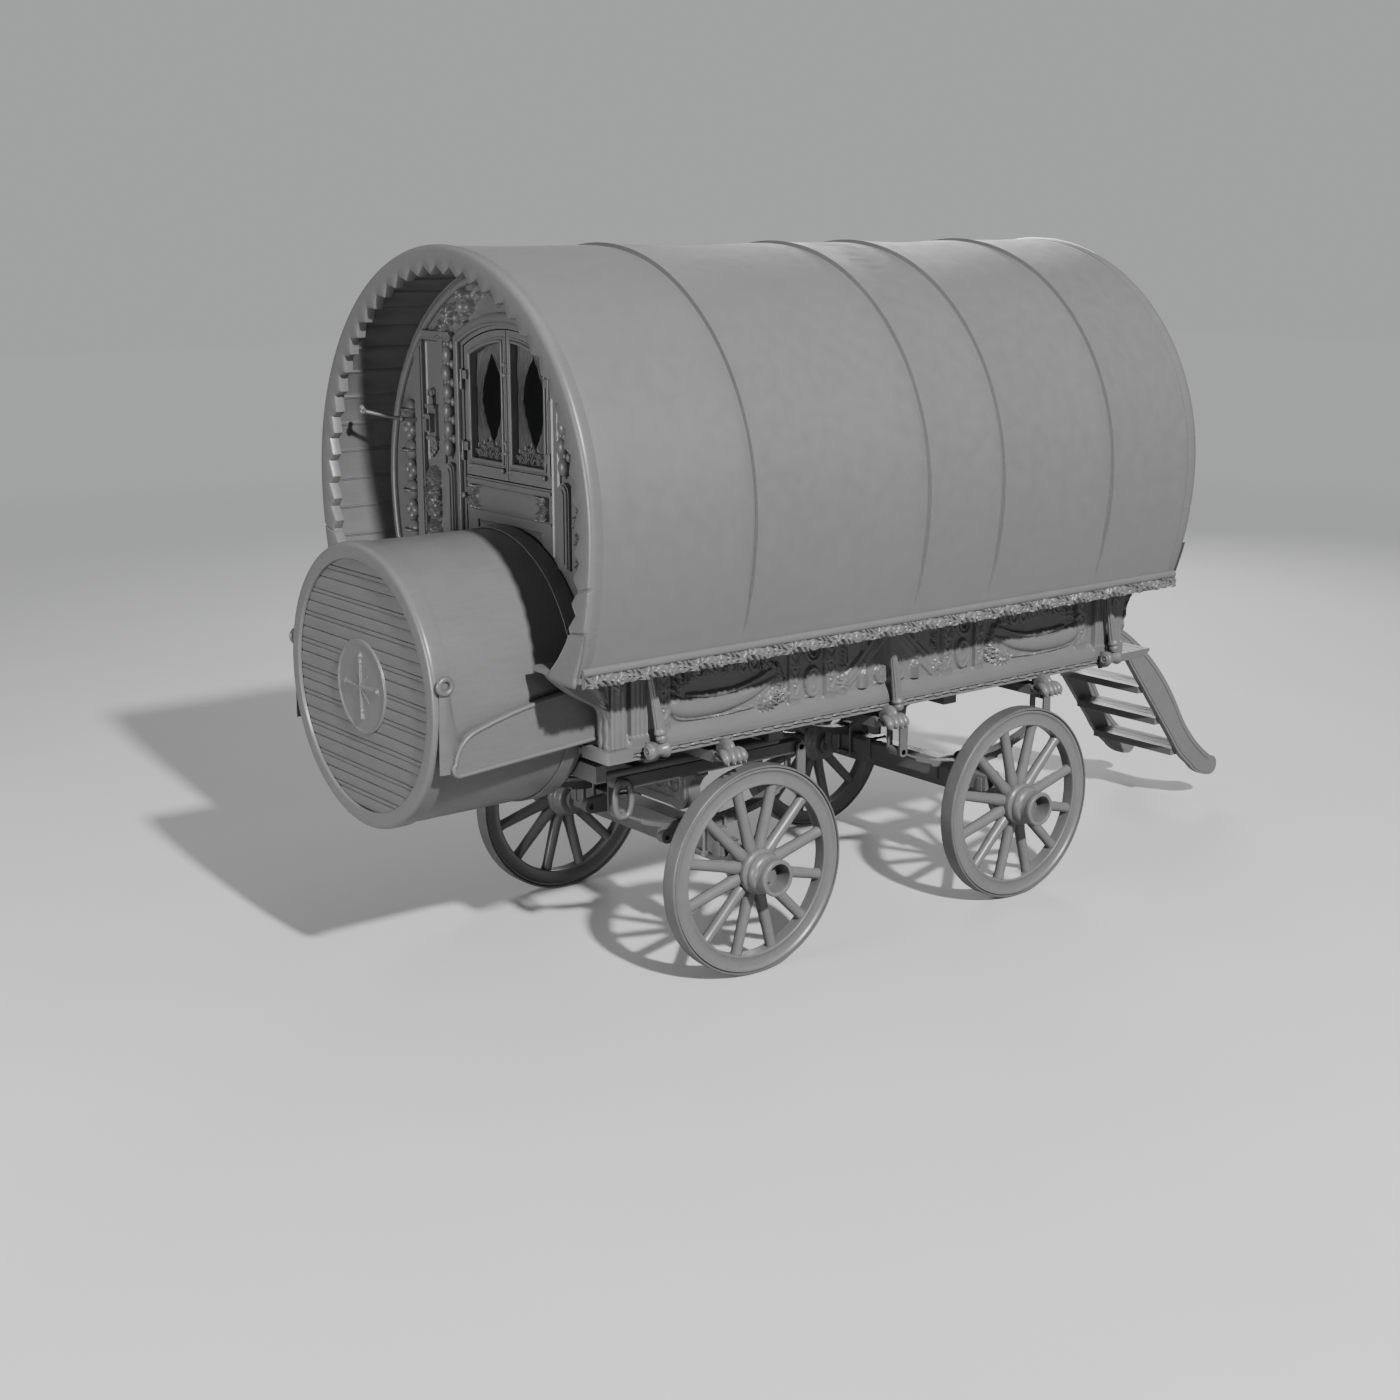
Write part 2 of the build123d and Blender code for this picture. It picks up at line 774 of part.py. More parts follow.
def drum_lugs():
    x0 = drum_r + fit
    y0 = drum_front + 2
    y1 = drum_front + 62
    eye_y = drum_front + 44
    eye = drum_z + 110
    tip = drum_z - 252
    strap = trace((y0, eye), (y0 + 8, tip), (y1 - 4, tip), (y1, eye))
    lug = slab_yz(strap, x0, x0 + 11)
    lug += rod_x(42, x0 - 16, x0 + 26, eye_y, eye)
    lug -= rod_x(18, x0 - 40, x0 + 60, eye_y, eye)
    lug -= slab_drum(Circle(drum_r + fit), drum_front - 60, drum_rear)
    return Compound(both(lug))


def drum_cheeks():
    x0 = drum_r + fit
    nose = drum_front + hoop_w - 23
    rear = front_y - fit
    face = trace(
        (rear, drum_z - 218), (nose + 31, drum_z - 268), ((nose, drum_z - 246), (nose + 10, drum_z - 210)),
        ((nose + 44, drum_z - 128), (nose + 106, drum_z - 86)),
        ((nose + 326, drum_z - 28), (rear - 132, drum_z + 8)), (rear, drum_z + 14))
    return Compound(both(slab_yz(face, x0, x0 + 30)))


# Rear porch and steps
def rear_porch():
    y0 = rear_y + 8 + fit
    face = trace(
        (y0, porch_low), (porch_rear - 70, porch_low), (porch_rear, porch_top - 16), (porch_rear, porch_top),
        (y0, porch_top))
    return slab_yz(face, -porch_half, porch_half)


# A point of the steps, as shares of their run from the porch and their drop from its top
def step_point(along, down):
    return (porch_rear + fit + (steps_run - fit) * along, porch_top - steps_drop * down)


def step_stringers():
    end_r = 56
    end_y = steps_rear - end_r
    end_z = porch_top - steps_drop + end_r
    at = step_point
    face = trace(
        at(0, 0.017), at(0, -0.025), (at(0.109, -0.029), at(0.2, -0.017)),
        (at(0.429, 0.183), at(0.677, 0.543)), (at(0.806, 0.744), (end_y, end_z + end_r)),
        ((steps_rear, end_z), (end_y, end_z - end_r)),
        (at(0.883, 0.983), at(0.78, 0.902)), (at(0.69, 0.809), at(0.629, 0.715)), at(0.286, 0.204),
        (at(0.159, 0.054), at(0.035, 0.019)))
    return Compound(both(slab_yz(face, string_x - string_t / 2, string_x + string_t / 2)))


def step_treads():
    half = string_x - string_t / 2 - fit
    made = []
    for k in range(tread_count):
        y, z = step_point(0.472 + 0.138 * k, 0.368 + 0.212 * k)
        made.append(box(-half, half, y - tread_deep / 2, y + tread_deep / 2, z - tread_t, z))
    return Compound(made)


# Floor boards, with a short tab under each front corner post
def floor():
    boards = box(-wall_x, wall_x, front_y, rear_y, floor_z, floor_top)
    tab = box(post_x - 103, post_x + post + 7, front_y - floor_tab, front_y, floor_z, floor_top)
    return boards + tab + flipped(tab)


# Every node of the wagon
def build():
    nodes = {}
    wheel = wheel_parts()
    for end, y in (("front", 0), ("rear", wheelbase)):
        for piece, shape in wheel.items():
            nodes[f"{end}_left_{piece}"] = Pos(track_half, y, axle_z) * shape
            nodes[f"{end}_right_{piece}"] = Pos(-track_half, y, axle_z) * flipped(shape)
    nodes["front_axle"] = axle(0)
    nodes["front_axle_bed"] = front_axle_bed()
    nodes["front_springs"] = springs(0)
    nodes["front_shackles"] = shackles(0)
    nodes["fore_frame"] = fore_frame()
    nodes["front_bolster"] = front_bolster()
    nodes["lower_ring"] = lower_ring()
    nodes["shaft_irons"] = shaft_irons()
    nodes["rear_axle"] = axle(wheelbase)
    nodes["rear_axle_bed"] = rear_axle_bed()
    nodes["rear_springs"] = springs(wheelbase)
    nodes["rear_shackles"] = shackles(wheelbase)
    nodes["spring_hangers"] = spring_hangers()
    nodes["turntable_ring"] = turntable_ring()
    nodes["underframe"] = underframe()
    nodes["carved_feet"] = Compound(paws() + corbels())
    nodes["floor"] = floor()
    nodes["sill_mouldings"] = sill_mouldings()
    nodes["side_wall_left"] = side_wall()
    nodes["side_wall_right"] = flipped(side_wall())
    nodes["corner_posts"] = corner_posts()
    nodes["front_wall"] = front_wall()
    nodes["rear_wall"] = rear_wall()
    nodes["front_door"] = front_door()
    nodes["casement_left"] = casement()
    nodes["casement_right"] = flipped(casement())
    nodes["glass_left"] = casement_glass()
    nodes["glass_right"] = flipped(casement_glass())
    nodes["curtain_left"] = curtain()
    nodes["curtain_right"] = flipped(curtain())
    nodes["rear_door"] = rear_door()
    nodes["rear_glass"] = rear_glass()
    nodes["porch_brackets"] = porch_brackets()
    nodes["ledges"] = ledges()
    nodes["eaves_mouldings"] = eaves_mouldings()
    nodes["struts"] = struts()
    nodes["canvas_cover"] = canvas_cover()
    nodes["roof_bows"] = roof_bows()
    nodes["valances"] = Compound([valance(canvas_front + 2), valance(canvas_rear - 2 - valance_t)])
    nodes["drum_barrel"] = drum_barrel()
    nodes["drum_hoops"] = drum_hoops()
    nodes["drum_heads"] = drum_heads()
    nodes["drum_medallion"] = drum_medallion()
    nodes["drum_lugs"] = drum_lugs()
    nodes["drum_cheeks"] = drum_cheeks()
    nodes["rear_porch"] = rear_porch()
    nodes["step_stringers"] = step_stringers()
    nodes["step_treads"] = step_treads()
    return nodes


if __name__ == "__main__":
    os.makedirs("parts", exist_ok=True)
    for name, shape in build().items():
        export_step(Pos(0, shift_y, 0) * shape, f"parts/{name}.step")
        print(name, round(shape.volume / 1e6, 2), "dm3,", len(shape.solids()), "solids")
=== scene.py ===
import math

import bpy
import numpy as np
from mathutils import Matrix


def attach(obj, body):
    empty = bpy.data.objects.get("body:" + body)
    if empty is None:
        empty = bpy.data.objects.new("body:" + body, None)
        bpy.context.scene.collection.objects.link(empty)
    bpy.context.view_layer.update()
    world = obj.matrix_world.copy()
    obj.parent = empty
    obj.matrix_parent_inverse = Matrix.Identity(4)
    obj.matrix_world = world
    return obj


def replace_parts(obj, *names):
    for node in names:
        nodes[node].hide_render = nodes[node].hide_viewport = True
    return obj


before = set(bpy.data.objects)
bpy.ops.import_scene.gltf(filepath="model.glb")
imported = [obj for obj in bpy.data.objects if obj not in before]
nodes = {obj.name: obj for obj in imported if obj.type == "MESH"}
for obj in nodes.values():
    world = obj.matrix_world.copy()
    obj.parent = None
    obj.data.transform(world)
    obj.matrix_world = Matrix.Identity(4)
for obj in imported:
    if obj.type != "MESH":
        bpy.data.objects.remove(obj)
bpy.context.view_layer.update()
# the pieces are worked out in mm about the front axle, and this takes them to the frame's own middle
frameShift = -1169.5
print("frame loaded,", len(nodes), "nodes")


# Meshes. A part is a pair: points in mm, and arrays of faces that all have the same number of corners.
def toScene(p):
    return np.asarray(p, float) * 0.001 + (0, frameShift * 0.001, 0)


def outward(p, sets):
    # six times the enclosed volume, summed over fans of triangles, is positive when the faces point outwards
    q = p - p.mean(0)
    volume = sum(
        np.einsum("ij,ij->", q[f[:, 0]], np.cross(q[f[:, k]], q[f[:, k + 1]]))
        for f in sets for k in range(1, f.shape[1] - 1))
    return p, [f[:, ::-1] for f in sets] if volume < 0 else sets


def quadsOf(n, m, wrapRows, wrapCols):
    i = np.arange(n if wrapRows else n - 1)[:, None]
    j = np.arange(m if wrapCols else m - 1)[None, :]
    near, far = (j + 1) % m, (i + 1) % n
    corners = np.broadcast_arrays(i * m + j, far * m + j, far * m + near, i * m + near)
    return np.stack(corners, -1).reshape(-1, 4)


def tubePart(p, ring=False):
    # rows of rings, closed round; the two ends are joined for a ring and capped with a fan otherwise
    n, m = p.shape[:2]
    quads = quadsOf(n, m, ring, True)
    flat = p.reshape(-1, 3)
    if ring:
        return outward(flat, [quads])
    j = np.arange(m)
    last = (n - 1) * m + j
    first = np.stack([np.full(m, n * m), (j + 1) % m, j], 1)
    end = np.stack([np.full(m, n * m + 1), last, (n - 1) * m + (j + 1) % m], 1)
    return outward(np.vstack([flat, p[0].mean(0), p[-1].mean(0)]), [quads, first, end])


def shellPart(front, back):
    # two grids of the same shape, joined round their borders
    n, m = front.shape[:2]
    half = n * m
    quads = quadsOf(n, m, False, False)
    i, j = np.arange(n), np.arange(m)
    loop = np.concatenate([i * m, (n - 1) * m + j[1:], i[::-1][1:] * m + m - 1, j[::-1][1:-1]])
    after = np.roll(loop, -1)
    rim = np.stack([loop, after, after + half, loop + half], 1)
    both = np.vstack([front.reshape(-1, 3), back.reshape(-1, 3)])
    return outward(both, [quads, quads[:, ::-1] + half, rim[:, ::-1]])


def reliefPart(front, low, high):
    # a carved face over a plain back: low and high are the back's lines under its first and last column
    n, m = front.shape[:2]
    i = np.arange(n - 1)
    a, b = n * m + i, n * m + n + i
    sides = [
        np.stack([i * m, a, a + 1, (i + 1) * m], 1),
        np.stack([i * m + m - 1, (i + 1) * m + m - 1, b + 1, b], 1),
        np.stack([a, b, b + 1, a + 1], 1)]
    j = np.arange(m)
    ends = [
        np.concatenate([j, [n * m + n, n * m]])[None],
        np.concatenate([(n - 1) * m + j[::-1], [n * m + n - 1, n * m + 2 * n - 1]])[None]]
    quads = quadsOf(n, m, False, False)
    faces = [quads, *[s[:, ::-1] for s in sides], *ends]
    return outward(np.vstack([front.reshape(-1, 3), low, high]), faces)


def backed(front, axis, value):
    # a face, and the lines behind its first and last column on a plain plane
    low, high = front[:, 0].copy(), front[:, -1].copy()
    low[:, axis] = high[:, axis] = value
    return front, low, high


def slabPart(outline, across, w0, w1):
    # a flat outline given its thickness: across says which two axes it lies in, and w0 to w1 is the third
    n = len(outline)
    p = np.zeros((2 * n, 3))
    axes = {"yz": (1, 2, 0), "xz": (0, 2, 1), "xy": (0, 1, 2)}[across]
    p[:, axes[0]] = np.tile(outline[:, 0], 2)
    p[:, axes[1]] = np.tile(outline[:, 1], 2)
    p[:, axes[2]] = np.repeat([w0, w1], n)
    i = np.arange(n)
    k = (i + 1) % n
    return outward(p, [np.stack([i, k, k + n, i + n], 1), i[::-1][None], (i + n)[None]])


def mirrored(part):
    p, sets = part
    return outward(p * (-1, 1, 1), sets)


def bothSides(parts):
    return parts + [mirrored(p) for p in parts]


def addPiece(name, parts, finish, body="wagon_body", crease=38, uv=None):
    # the finish goes by its name
    start, sizes, corners = 0, [], []
    for p, sets in parts:
        for f in sets:
            sizes.append(np.full(len(f), f.shape[1]))
            corners.append((f + start).ravel())
        start += len(p)
    sizes, corners = np.concatenate(sizes), np.concatenate(corners).astype(np.int32)
    mesh = bpy.data.meshes.new(name)
    mesh.vertices.add(start)
    mesh.vertices.foreach_set("co", toScene(np.vstack([p for p, s in parts])).astype(np.float32).ravel())
    mesh.loops.add(len(corners))
    mesh.loops.foreach_set("vertex_index", corners)
    mesh.polygons.add(len(sizes))
    mesh.polygons.foreach_set("loop_start", (np.cumsum(sizes) - sizes).astype(np.int32))
    mesh.update(calc_edges=True)
    mesh.polygons.foreach_set("use_smooth", np.ones(len(sizes), bool))
    mesh.set_sharp_from_angle(angle=math.radians(crease))
    if uv is not None:
        mesh.uv_layers.new(name="cloth").data.foreach_set("uv", uv[corners].astype(np.float32).ravel())
    mesh.validate()
    mesh.materials.append(finishes[finish])
    made = bpy.data.objects.new(name, mesh)
    bpy.context.scene.collection.objects.link(made)
    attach(made, body)
    return made


# Curves and sections
def unit(v):
    return v / np.linalg.norm(v, axis=-1, keepdims=True)


def roundSection(r, count=12, squash=1.0):
    a = np.arange(count) * 2 * np.pi / count
    return np.stack([r * np.cos(a), r * squash * np.sin(a)], 1)


def sweep(path, section, scale=1.0, up=(0, 0, 1), closed=False):
    # the section stands square to the path, its first axis to the side of it and its second towards up
    path = np.asarray(path, float)
    ahead = np.roll(path, -1, 0) - np.roll(path, 1, 0) if closed else np.gradient(path, axis=0)
    ahead = unit(ahead)
    side = unit(np.cross(ahead, np.asarray(up, float)))
    lift = np.cross(side, ahead)
    size = np.broadcast_to(np.asarray(scale, float), (len(path),))[:, None, None]
    return path[:, None] + size * (
        section[None, :, :1] * side[:, None] + section[None, :, 1:] * lift[:, None])


def spin(profile, centre, axis, count=48):
    # rows of circles about an axis: profile gives how far along it and how far from it
    axis = unit(np.asarray(axis, float))
    first = unit(np.cross(axis, (0.31, 0.52, 0.77)))
    second = np.cross(axis, first)
    a = np.arange(count) * 2 * np.pi / count
    ring = np.cos(a)[:, None] * first + np.sin(a)[:, None] * second
    profile = np.asarray(profile, float)
    return np.asarray(centre, float) + profile[:, None, :1] * axis + profile[:, None, 1:] * ring[None]


def turned(profile, centre, axis, count=48, ring=False):
    return tubePart(spin(profile, centre, axis, count), ring)


def rod(path, section, scale=1.0, up=(0, 0, 1), closed=False):
    return tubePart(sweep(path, section, scale, up, closed), closed)


def softened(line, rounds=2, closed=False, keep=0.25):
    # corner cutting: each run keeps its middle, so that corners turn into short curves
    line = np.asarray(line, float)
    for k in range(rounds):
        nxt = np.roll(line, -1, 0) if closed else line[1:]
        now = line if closed else line[:-1]
        cut = np.stack([now + keep * (nxt - now), nxt - keep * (nxt - now)], 1).reshape(-1, line.shape[1])
        line = cut if closed else np.vstack([line[:1], cut[1:-1], line[-1:]])
    return line


def arcThrough(a, b, c, count=12):
    # points on the circle through three points, from the first to the last
    a, b, c = (np.asarray(v, float) for v in (a, b, c))
    m = 2 * np.array([b - a, c - a])
    centre = np.linalg.solve(m, np.array([b @ b - a @ a, c @ c - a @ a]))
    t0, t1, t2 = (math.atan2(*(v - centre)[::-1]) for v in (a, b, c))
    turn = (t2 - t0) % (2 * np.pi)
    if (t1 - t0) % (2 * np.pi) > turn:
        turn -= 2 * np.pi
    t = t0 + np.linspace(0, 1, count) * turn
    return centre + np.linalg.norm(a - centre) * np.stack([np.cos(t), np.sin(t)], 1)


def smoothLine(points, count=60):
    # a curve through the points: cubic pieces whose slopes come from the neighbours
    points = np.asarray(points, float)
    slopes = np.gradient(points, axis=0)
    t = np.linspace(0, len(points) - 1, count)
    i = np.minimum(t.astype(int), len(points) - 2)
    f = (t - i)[:, None]
    h1, h2 = 2 * f ** 3 - 3 * f ** 2 + 1, f ** 3 - 2 * f ** 2 + f
    return h1 * points[i] + h2 * slopes[i] + (1 - h1) * points[i + 1] + (f ** 3 - f ** 2) * slopes[i + 1]


# Finishes: shared effects are node groups, and each finish has its own shader
def newGroup(name, inputs, outputs):
    tree = bpy.data.node_groups.new(name, "ShaderNodeTree")
    for label, kind, value in inputs:
        socket = tree.interface.new_socket(label, in_out="INPUT", socket_type=kind)
        if value is not None:
            socket.default_value = value
    for label, kind in outputs:
        tree.interface.new_socket(label, in_out="OUTPUT", socket_type=kind)
    return tree, tree.nodes.new("NodeGroupInput"), tree.nodes.new("NodeGroupOutput")


def feed(tree, node, inputs):
    # an input goes by its label, or by i and its number; it takes a link or a plain value
    for key, value in inputs.items():
        socket = node.inputs[int(key[1:])] if key[0] == "i" and key[1:].isdigit() else node.inputs[key]
        if isinstance(value, bpy.types.NodeSocket):
            tree.links.new(value, socket)
        else:
            socket.default_value = value


def addNode(tree, kind, settings=None, **inputs):
    node = tree.nodes.new(kind)
    for key, value in (settings or {}).items():
        setattr(node, key, value)
    feed(tree, node, inputs)
    return node


def noiseNode(tree, place, scale, detail, **more):
    return addNode(
        tree, "ShaderNodeTexNoise", None, Vector=place, Scale=scale, Detail=detail, **more).outputs[0]


def mathNode(tree, operation, a, b=0.0, c=0.0):
    return addNode(tree, "ShaderNodeMath", {"operation": operation}, i0=a, i1=b, i2=c).outputs[0]


def rangeNode(tree, value, low, high, toLow, toHigh):
    node = addNode(tree, "ShaderNodeMapRange", None, i0=value, i1=low, i2=high, i3=toLow, i4=toHigh)
    return node.outputs[0]


vector, number = "NodeSocketVector", "NodeSocketFloat"


def grainGroup():
    # long fibres: one fine and one broad noise, both already stretched by the vector that comes in
    inputs = [("Vector", vector, None), ("Fineness", number, 60.0)]
    tree, into, out = newGroup("woodGrain", inputs, [("Fibre", number), ("Figure", number)])
    place, fineness = into.outputs[0], into.outputs[1]
    feed(tree, out, {
        "Fibre": noiseNode(tree, place, fineness, 6.0, Roughness=0.62),
        "Figure": noiseNode(tree, place, 7.0, 3.0, Distortion=0.6)})
    return tree


def scuffGroup():
    # patchy handling marks: a broad patch mask times a fine speckle
    inputs = [("Vector", vector, None), ("Patch", number, 3.0)]
    tree, into, out = newGroup("scuffs", inputs, [("Scuff", number)])
    patch = rangeNode(tree, noiseNode(tree, into.outputs[0], into.outputs[1], 4.0), 0.42, 0.72, 0.0, 1.0)
    speck = rangeNode(tree, noiseNode(tree, into.outputs[0], 95.0, 5.0), 0.4, 0.75, 0.15, 1.0)
    feed(tree, out, {"Scuff": mathNode(tree, "MULTIPLY", patch, speck)})
    return tree


def dustGroup():
    # dust settles on what faces up, in a broken layer
    tree, into, out = newGroup("settledDust", [("Vector", vector, None)], [("Dust", number)])
    facing = addNode(tree, "ShaderNodeNewGeometry").outputs["Normal"]
    up = addNode(tree, "ShaderNodeSeparateXYZ", None, i0=facing).outputs[2]
    cloud = rangeNode(tree, noiseNode(tree, into.outputs[0], 5.0, 6.0), 0.3, 0.7, 0.25, 1.0)
    layer = mathNode(tree, "MULTIPLY", rangeNode(tree, up, 0.25, 0.95, 0.0, 1.0), cloud)
    feed(tree, out, {"Dust": layer})
    return tree


def weaveGroup():
    # plain weave: crossing sine ridges of warp and weft, with slubs where the yarn is thicker
    inputs = [("Vector", vector, None), ("Threads", number, 60.0)]
    tree, into, out = newGroup("plainWeave", inputs, [("Thread", number), ("Slub", number)])
    place, threads = into.outputs[0], into.outputs[1]
    size = addNode(tree, "ShaderNodeVectorMath", {"operation": "SCALE"}, i0=place, Scale=threads).outputs[0]
    warp, weft = (
        addNode(tree, "ShaderNodeTexWave", {"bands_direction": way}, Vector=size, Scale=1.0, Distortion=0.8)
        for way in ("X", "Y"))
    feed(tree, out, {
        "Thread": mathNode(tree, "ADD", warp.outputs[1], weft.outputs[1]),
        "Slub": noiseNode(tree, place, 14.0, 6.0)})
    return tree


def pitGroup():
    # forged skin: shallow pits and a broad hammered swell
    tree, into, out = newGroup(
        "forgedSkin", [("Vector", vector, None)], [("Pits", number), ("Swell", number)])
    pits = addNode(tree, "ShaderNodeTexVoronoi", None, Vector=into.outputs[0], Scale=70.0)
    feed(tree, out, {"Pits": pits.outputs[0], "Swell": noiseNode(tree, into.outputs[0], 12.0, 4.0)})
    return tree


groups = {
    "grain": grainGroup(), "scuff": scuffGroup(), "dust": dustGroup(), "weave": weaveGroup(),
    "pit": pitGroup()}


def useGroup(tree, name, **inputs):
    return addNode(tree, "ShaderNodeGroup", {"node_tree": groups[name]}, **inputs)


def blank(name):
    made = bpy.data.materials.new(name)
    made.use_nodes = True
    return made, made.node_tree, made.node_tree.nodes["Principled BSDF"]


def toned(tone, by, add=0.0):
    # a tone made darker or lighter, as a colour
    return *(add + c * by for c in tone), 1


def mixTone(tree, amount, low, high):
    # between two colours, each a link or a plain value
    return addNode(tree, "ShaderNodeMix", {"data_type": "RGBA"}, i0=amount, i6=low, i7=high).outputs[2]


def worn(tree, place, patch, share):
    # a share of the scuffs
    return mathNode(tree, "MULTIPLY", useGroup(tree, "scuff", Vector=place, Patch=patch).outputs[0], share)


def dusty(tree, place, share):
    # a share of the dust
    return mathNode(tree, "MULTIPLY", useGroup(tree, "dust", Vector=place).outputs[0], share)


def reliefOf(tree, height, strength, distance=0.002):
    return addNode(
        tree, "ShaderNodeBump", None, Strength=strength, Distance=distance, Height=height).outputs[0]


def woodFinish(name, tone, stretch, rough=0.42, bump=0.25, sheen=0.35):
    # painted or oiled timber: grain along the board, scuffs, and dust on the upper faces
    made, tree, shader = blank(name)
    place = addNode(tree, "ShaderNodeTexCoord").outputs["Object"]
    along = addNode(tree, "ShaderNodeMapping", None, Vector=place, Scale=stretch).outputs[0]
    grain = useGroup(tree, "grain", Vector=along, Fineness=46.0)
    fibre = grain.outputs["Fibre"]
    colour = mixTone(tree, grain.outputs["Figure"], toned(tone, 0.86), toned(tone, 1.1))
    colour = mixTone(tree, worn(tree, place, 2.6, 0.35), colour, toned(tone, 1.35))
    colour = mixTone(tree, dusty(tree, place, 0.22), colour, toned(tone, 0.9, 0.12))
    feed(tree, shader, {
        "Base Color": colour, "Roughness": rangeNode(tree, fibre, 0.25, 0.75, rough - 0.06, rough + 0.1),
        "Normal": reliefOf(tree, fibre, bump), "Coat Weight": sheen * 0.3, "Coat Roughness": 0.3})
    return made


def ironFinish(name, tone, rough=0.38):
    # blackened iron: a hammered swell, pits, and brighter scuffs
    made, tree, shader = blank(name)
    place = addNode(tree, "ShaderNodeTexCoord").outputs["Object"]
    skin = useGroup(tree, "pit", Vector=place)
    swell = skin.outputs["Swell"]
    colour = mixTone(tree, swell, toned(tone, 0.82), toned(tone, 1.15))
    colour = mixTone(tree, worn(tree, place, 5.0, 0.5), colour, toned(tone, 1.7))
    feed(tree, shader, {
        "Base Color": colour, "Roughness": rangeNode(tree, swell, 0.3, 0.7, rough - 0.08, rough + 0.12),
        "Normal": reliefOf(tree, skin.outputs["Pits"], 0.18), "Metallic": 0.2})
    return made


def clothFinish(name, tone, threads, rough=0.62, bump=0.2):
    # woven cloth on its own UV map, in metres along and across the cut
    made, tree, shader = blank(name)
    place = addNode(tree, "ShaderNodeTexCoord").outputs
    weave = useGroup(tree, "weave", Vector=place["UV"], Threads=threads)
    slub = weave.outputs["Slub"]
    colour = mixTone(tree, slub, toned(tone, 0.92), toned(tone, 1.07))
    colour = mixTone(tree, worn(tree, place["Object"], 1.4, 0.16), colour, toned(tone, 0.8))
    colour = mixTone(tree, dusty(tree, place["Object"], 0.1), colour, toned(tone, 0.9, 0.1))
    feed(tree, shader, {
        "Base Color": colour, "Roughness": rangeNode(tree, slub, 0.3, 0.7, rough - 0.08, rough + 0.08),
        "Normal": reliefOf(tree, weave.outputs["Thread"], bump, 0.001), "Sheen Weight": 0.15})
    return made


def glassFinish(name):
    # clear from the front and more of a mirror at a slant
    made, tree, shader = blank(name)
    place = addNode(tree, "ShaderNodeTexCoord").outputs["Object"]
    film = useGroup(tree, "scuff", Vector=place, Patch=6.0).outputs[0]
    slant = addNode(tree, "ShaderNodeLayerWeight", None, Blend=0.25).outputs["Fresnel"]
    feed(tree, shader, {
        "Base Color": (0.02, 0.021, 0.021, 1), "Roughness": rangeNode(tree, film, 0.0, 1.0, 0.05, 0.22),
        "Alpha": rangeNode(tree, slant, 0.0, 1.0, 0.03, 0.4)})
    return made


tones = {
    "painted": (0.128, 0.128, 0.127), "carved": (0.135, 0.135, 0.134), "boards": (0.122, 0.122, 0.121),
    "wheel": (0.145, 0.145, 0.144), "iron": (0.14, 0.14, 0.14), "canvas": (0.135, 0.135, 0.134),
    "cloth": (0.16, 0.16, 0.158)}
alongY, alongX, alongZ = (9, 1.1, 9), (1.1, 9, 9), (9, 9, 1.1)
finishes = {
    "painted": woodFinish("paintedWood", tones["painted"], alongY),
    "paintedAcross": woodFinish("paintedWoodAcross", tones["painted"], alongX),
    "upright": woodFinish("paintedWoodUpright", tones["painted"], alongZ),
    "carved": woodFinish("carvedWood", tones["carved"], alongY, rough=0.33, bump=0.08),
    "boards": woodFinish("plainBoards", tones["boards"], alongY, rough=0.5, bump=0.4, sheen=0.1),
    # the wheels' paler wood; the steps wear it too as painted light, a paler tone that stands in for light so
    # they render no darker than the walls
    "wheel": woodFinish("wheelWoodAndStepLight", tones["wheel"], (4, 4, 4), rough=0.33, bump=0.1),
    "drum": woodFinish("drumStaves", tones["canvas"], alongY, rough=0.3, bump=0.05, sheen=0.6),
    "drumHead": woodFinish("drumPlanks", tones["painted"], alongX, rough=0.4, bump=0.3),
    "iron": ironFinish("forgedIron", tones["iron"]),
    "canvas": clothFinish("proofedCanvas", tones["canvas"], 620.0, rough=0.5),
    "cloth": clothFinish("curtainCloth", tones["cloth"], 900.0, bump=0.08),
    "glass": glassFinish("windowGlass"),
}
wearers = {
    "iron": [
        "front_axle", "rear_axle", "front_springs", "rear_springs", "front_shackles", "rear_shackles",
        "lower_ring", "turntable_ring", "shaft_irons", "spring_hangers", "drum_lugs"],
    "painted": ["fore_frame", "underframe", "drum_cheeks"],
    "paintedAcross": ["front_axle_bed", "rear_axle_bed", "front_bolster"],
    "upright": [
        "corner_posts", "front_wall", "rear_wall", "front_door", "casement_left", "casement_right",
        "rear_door", "struts"],
    "carved": [
        "sill_mouldings", "side_wall_left", "side_wall_right", "porch_brackets", "eaves_mouldings",
        "carved_feet", "valances", "drum_medallion"],
    "boards": ["floor", "ledges", "roof_bows", "rear_porch"],
    # the steps wear the paler wheel wood: painted light that brightens them where they render darker than the
    # walls
    "wheel": ["step_stringers", "step_treads"],
    "drum": ["drum_barrel", "drum_hoops"],
    "drumHead": ["drum_heads"],
    "canvas": ["canvas_cover"],
    "cloth": ["curtain_left", "curtain_right"],
    "glass": ["glass_left", "glass_right", "rear_glass"],
}
for end in ("front_left", "front_right", "rear_left", "rear_right"):
    wearers["iron"].append(f"{end}_tyre")
    wearers["wheel"] += [f"{end}_felloes", f"{end}_spoked_nave"]
for finish, names in wearers.items():
    for name in names:
        nodes[name].data.materials.clear()
        nodes[name].data.materials.append(finishes[finish])
print("finishes made:", len(finishes))


# Camera, light and floor
studio = {"lens": 51.3, "camera": (7.221, -6.5765, 3.316), "tilt": 76.24, "turn": 51.73, "floor": 40.0}


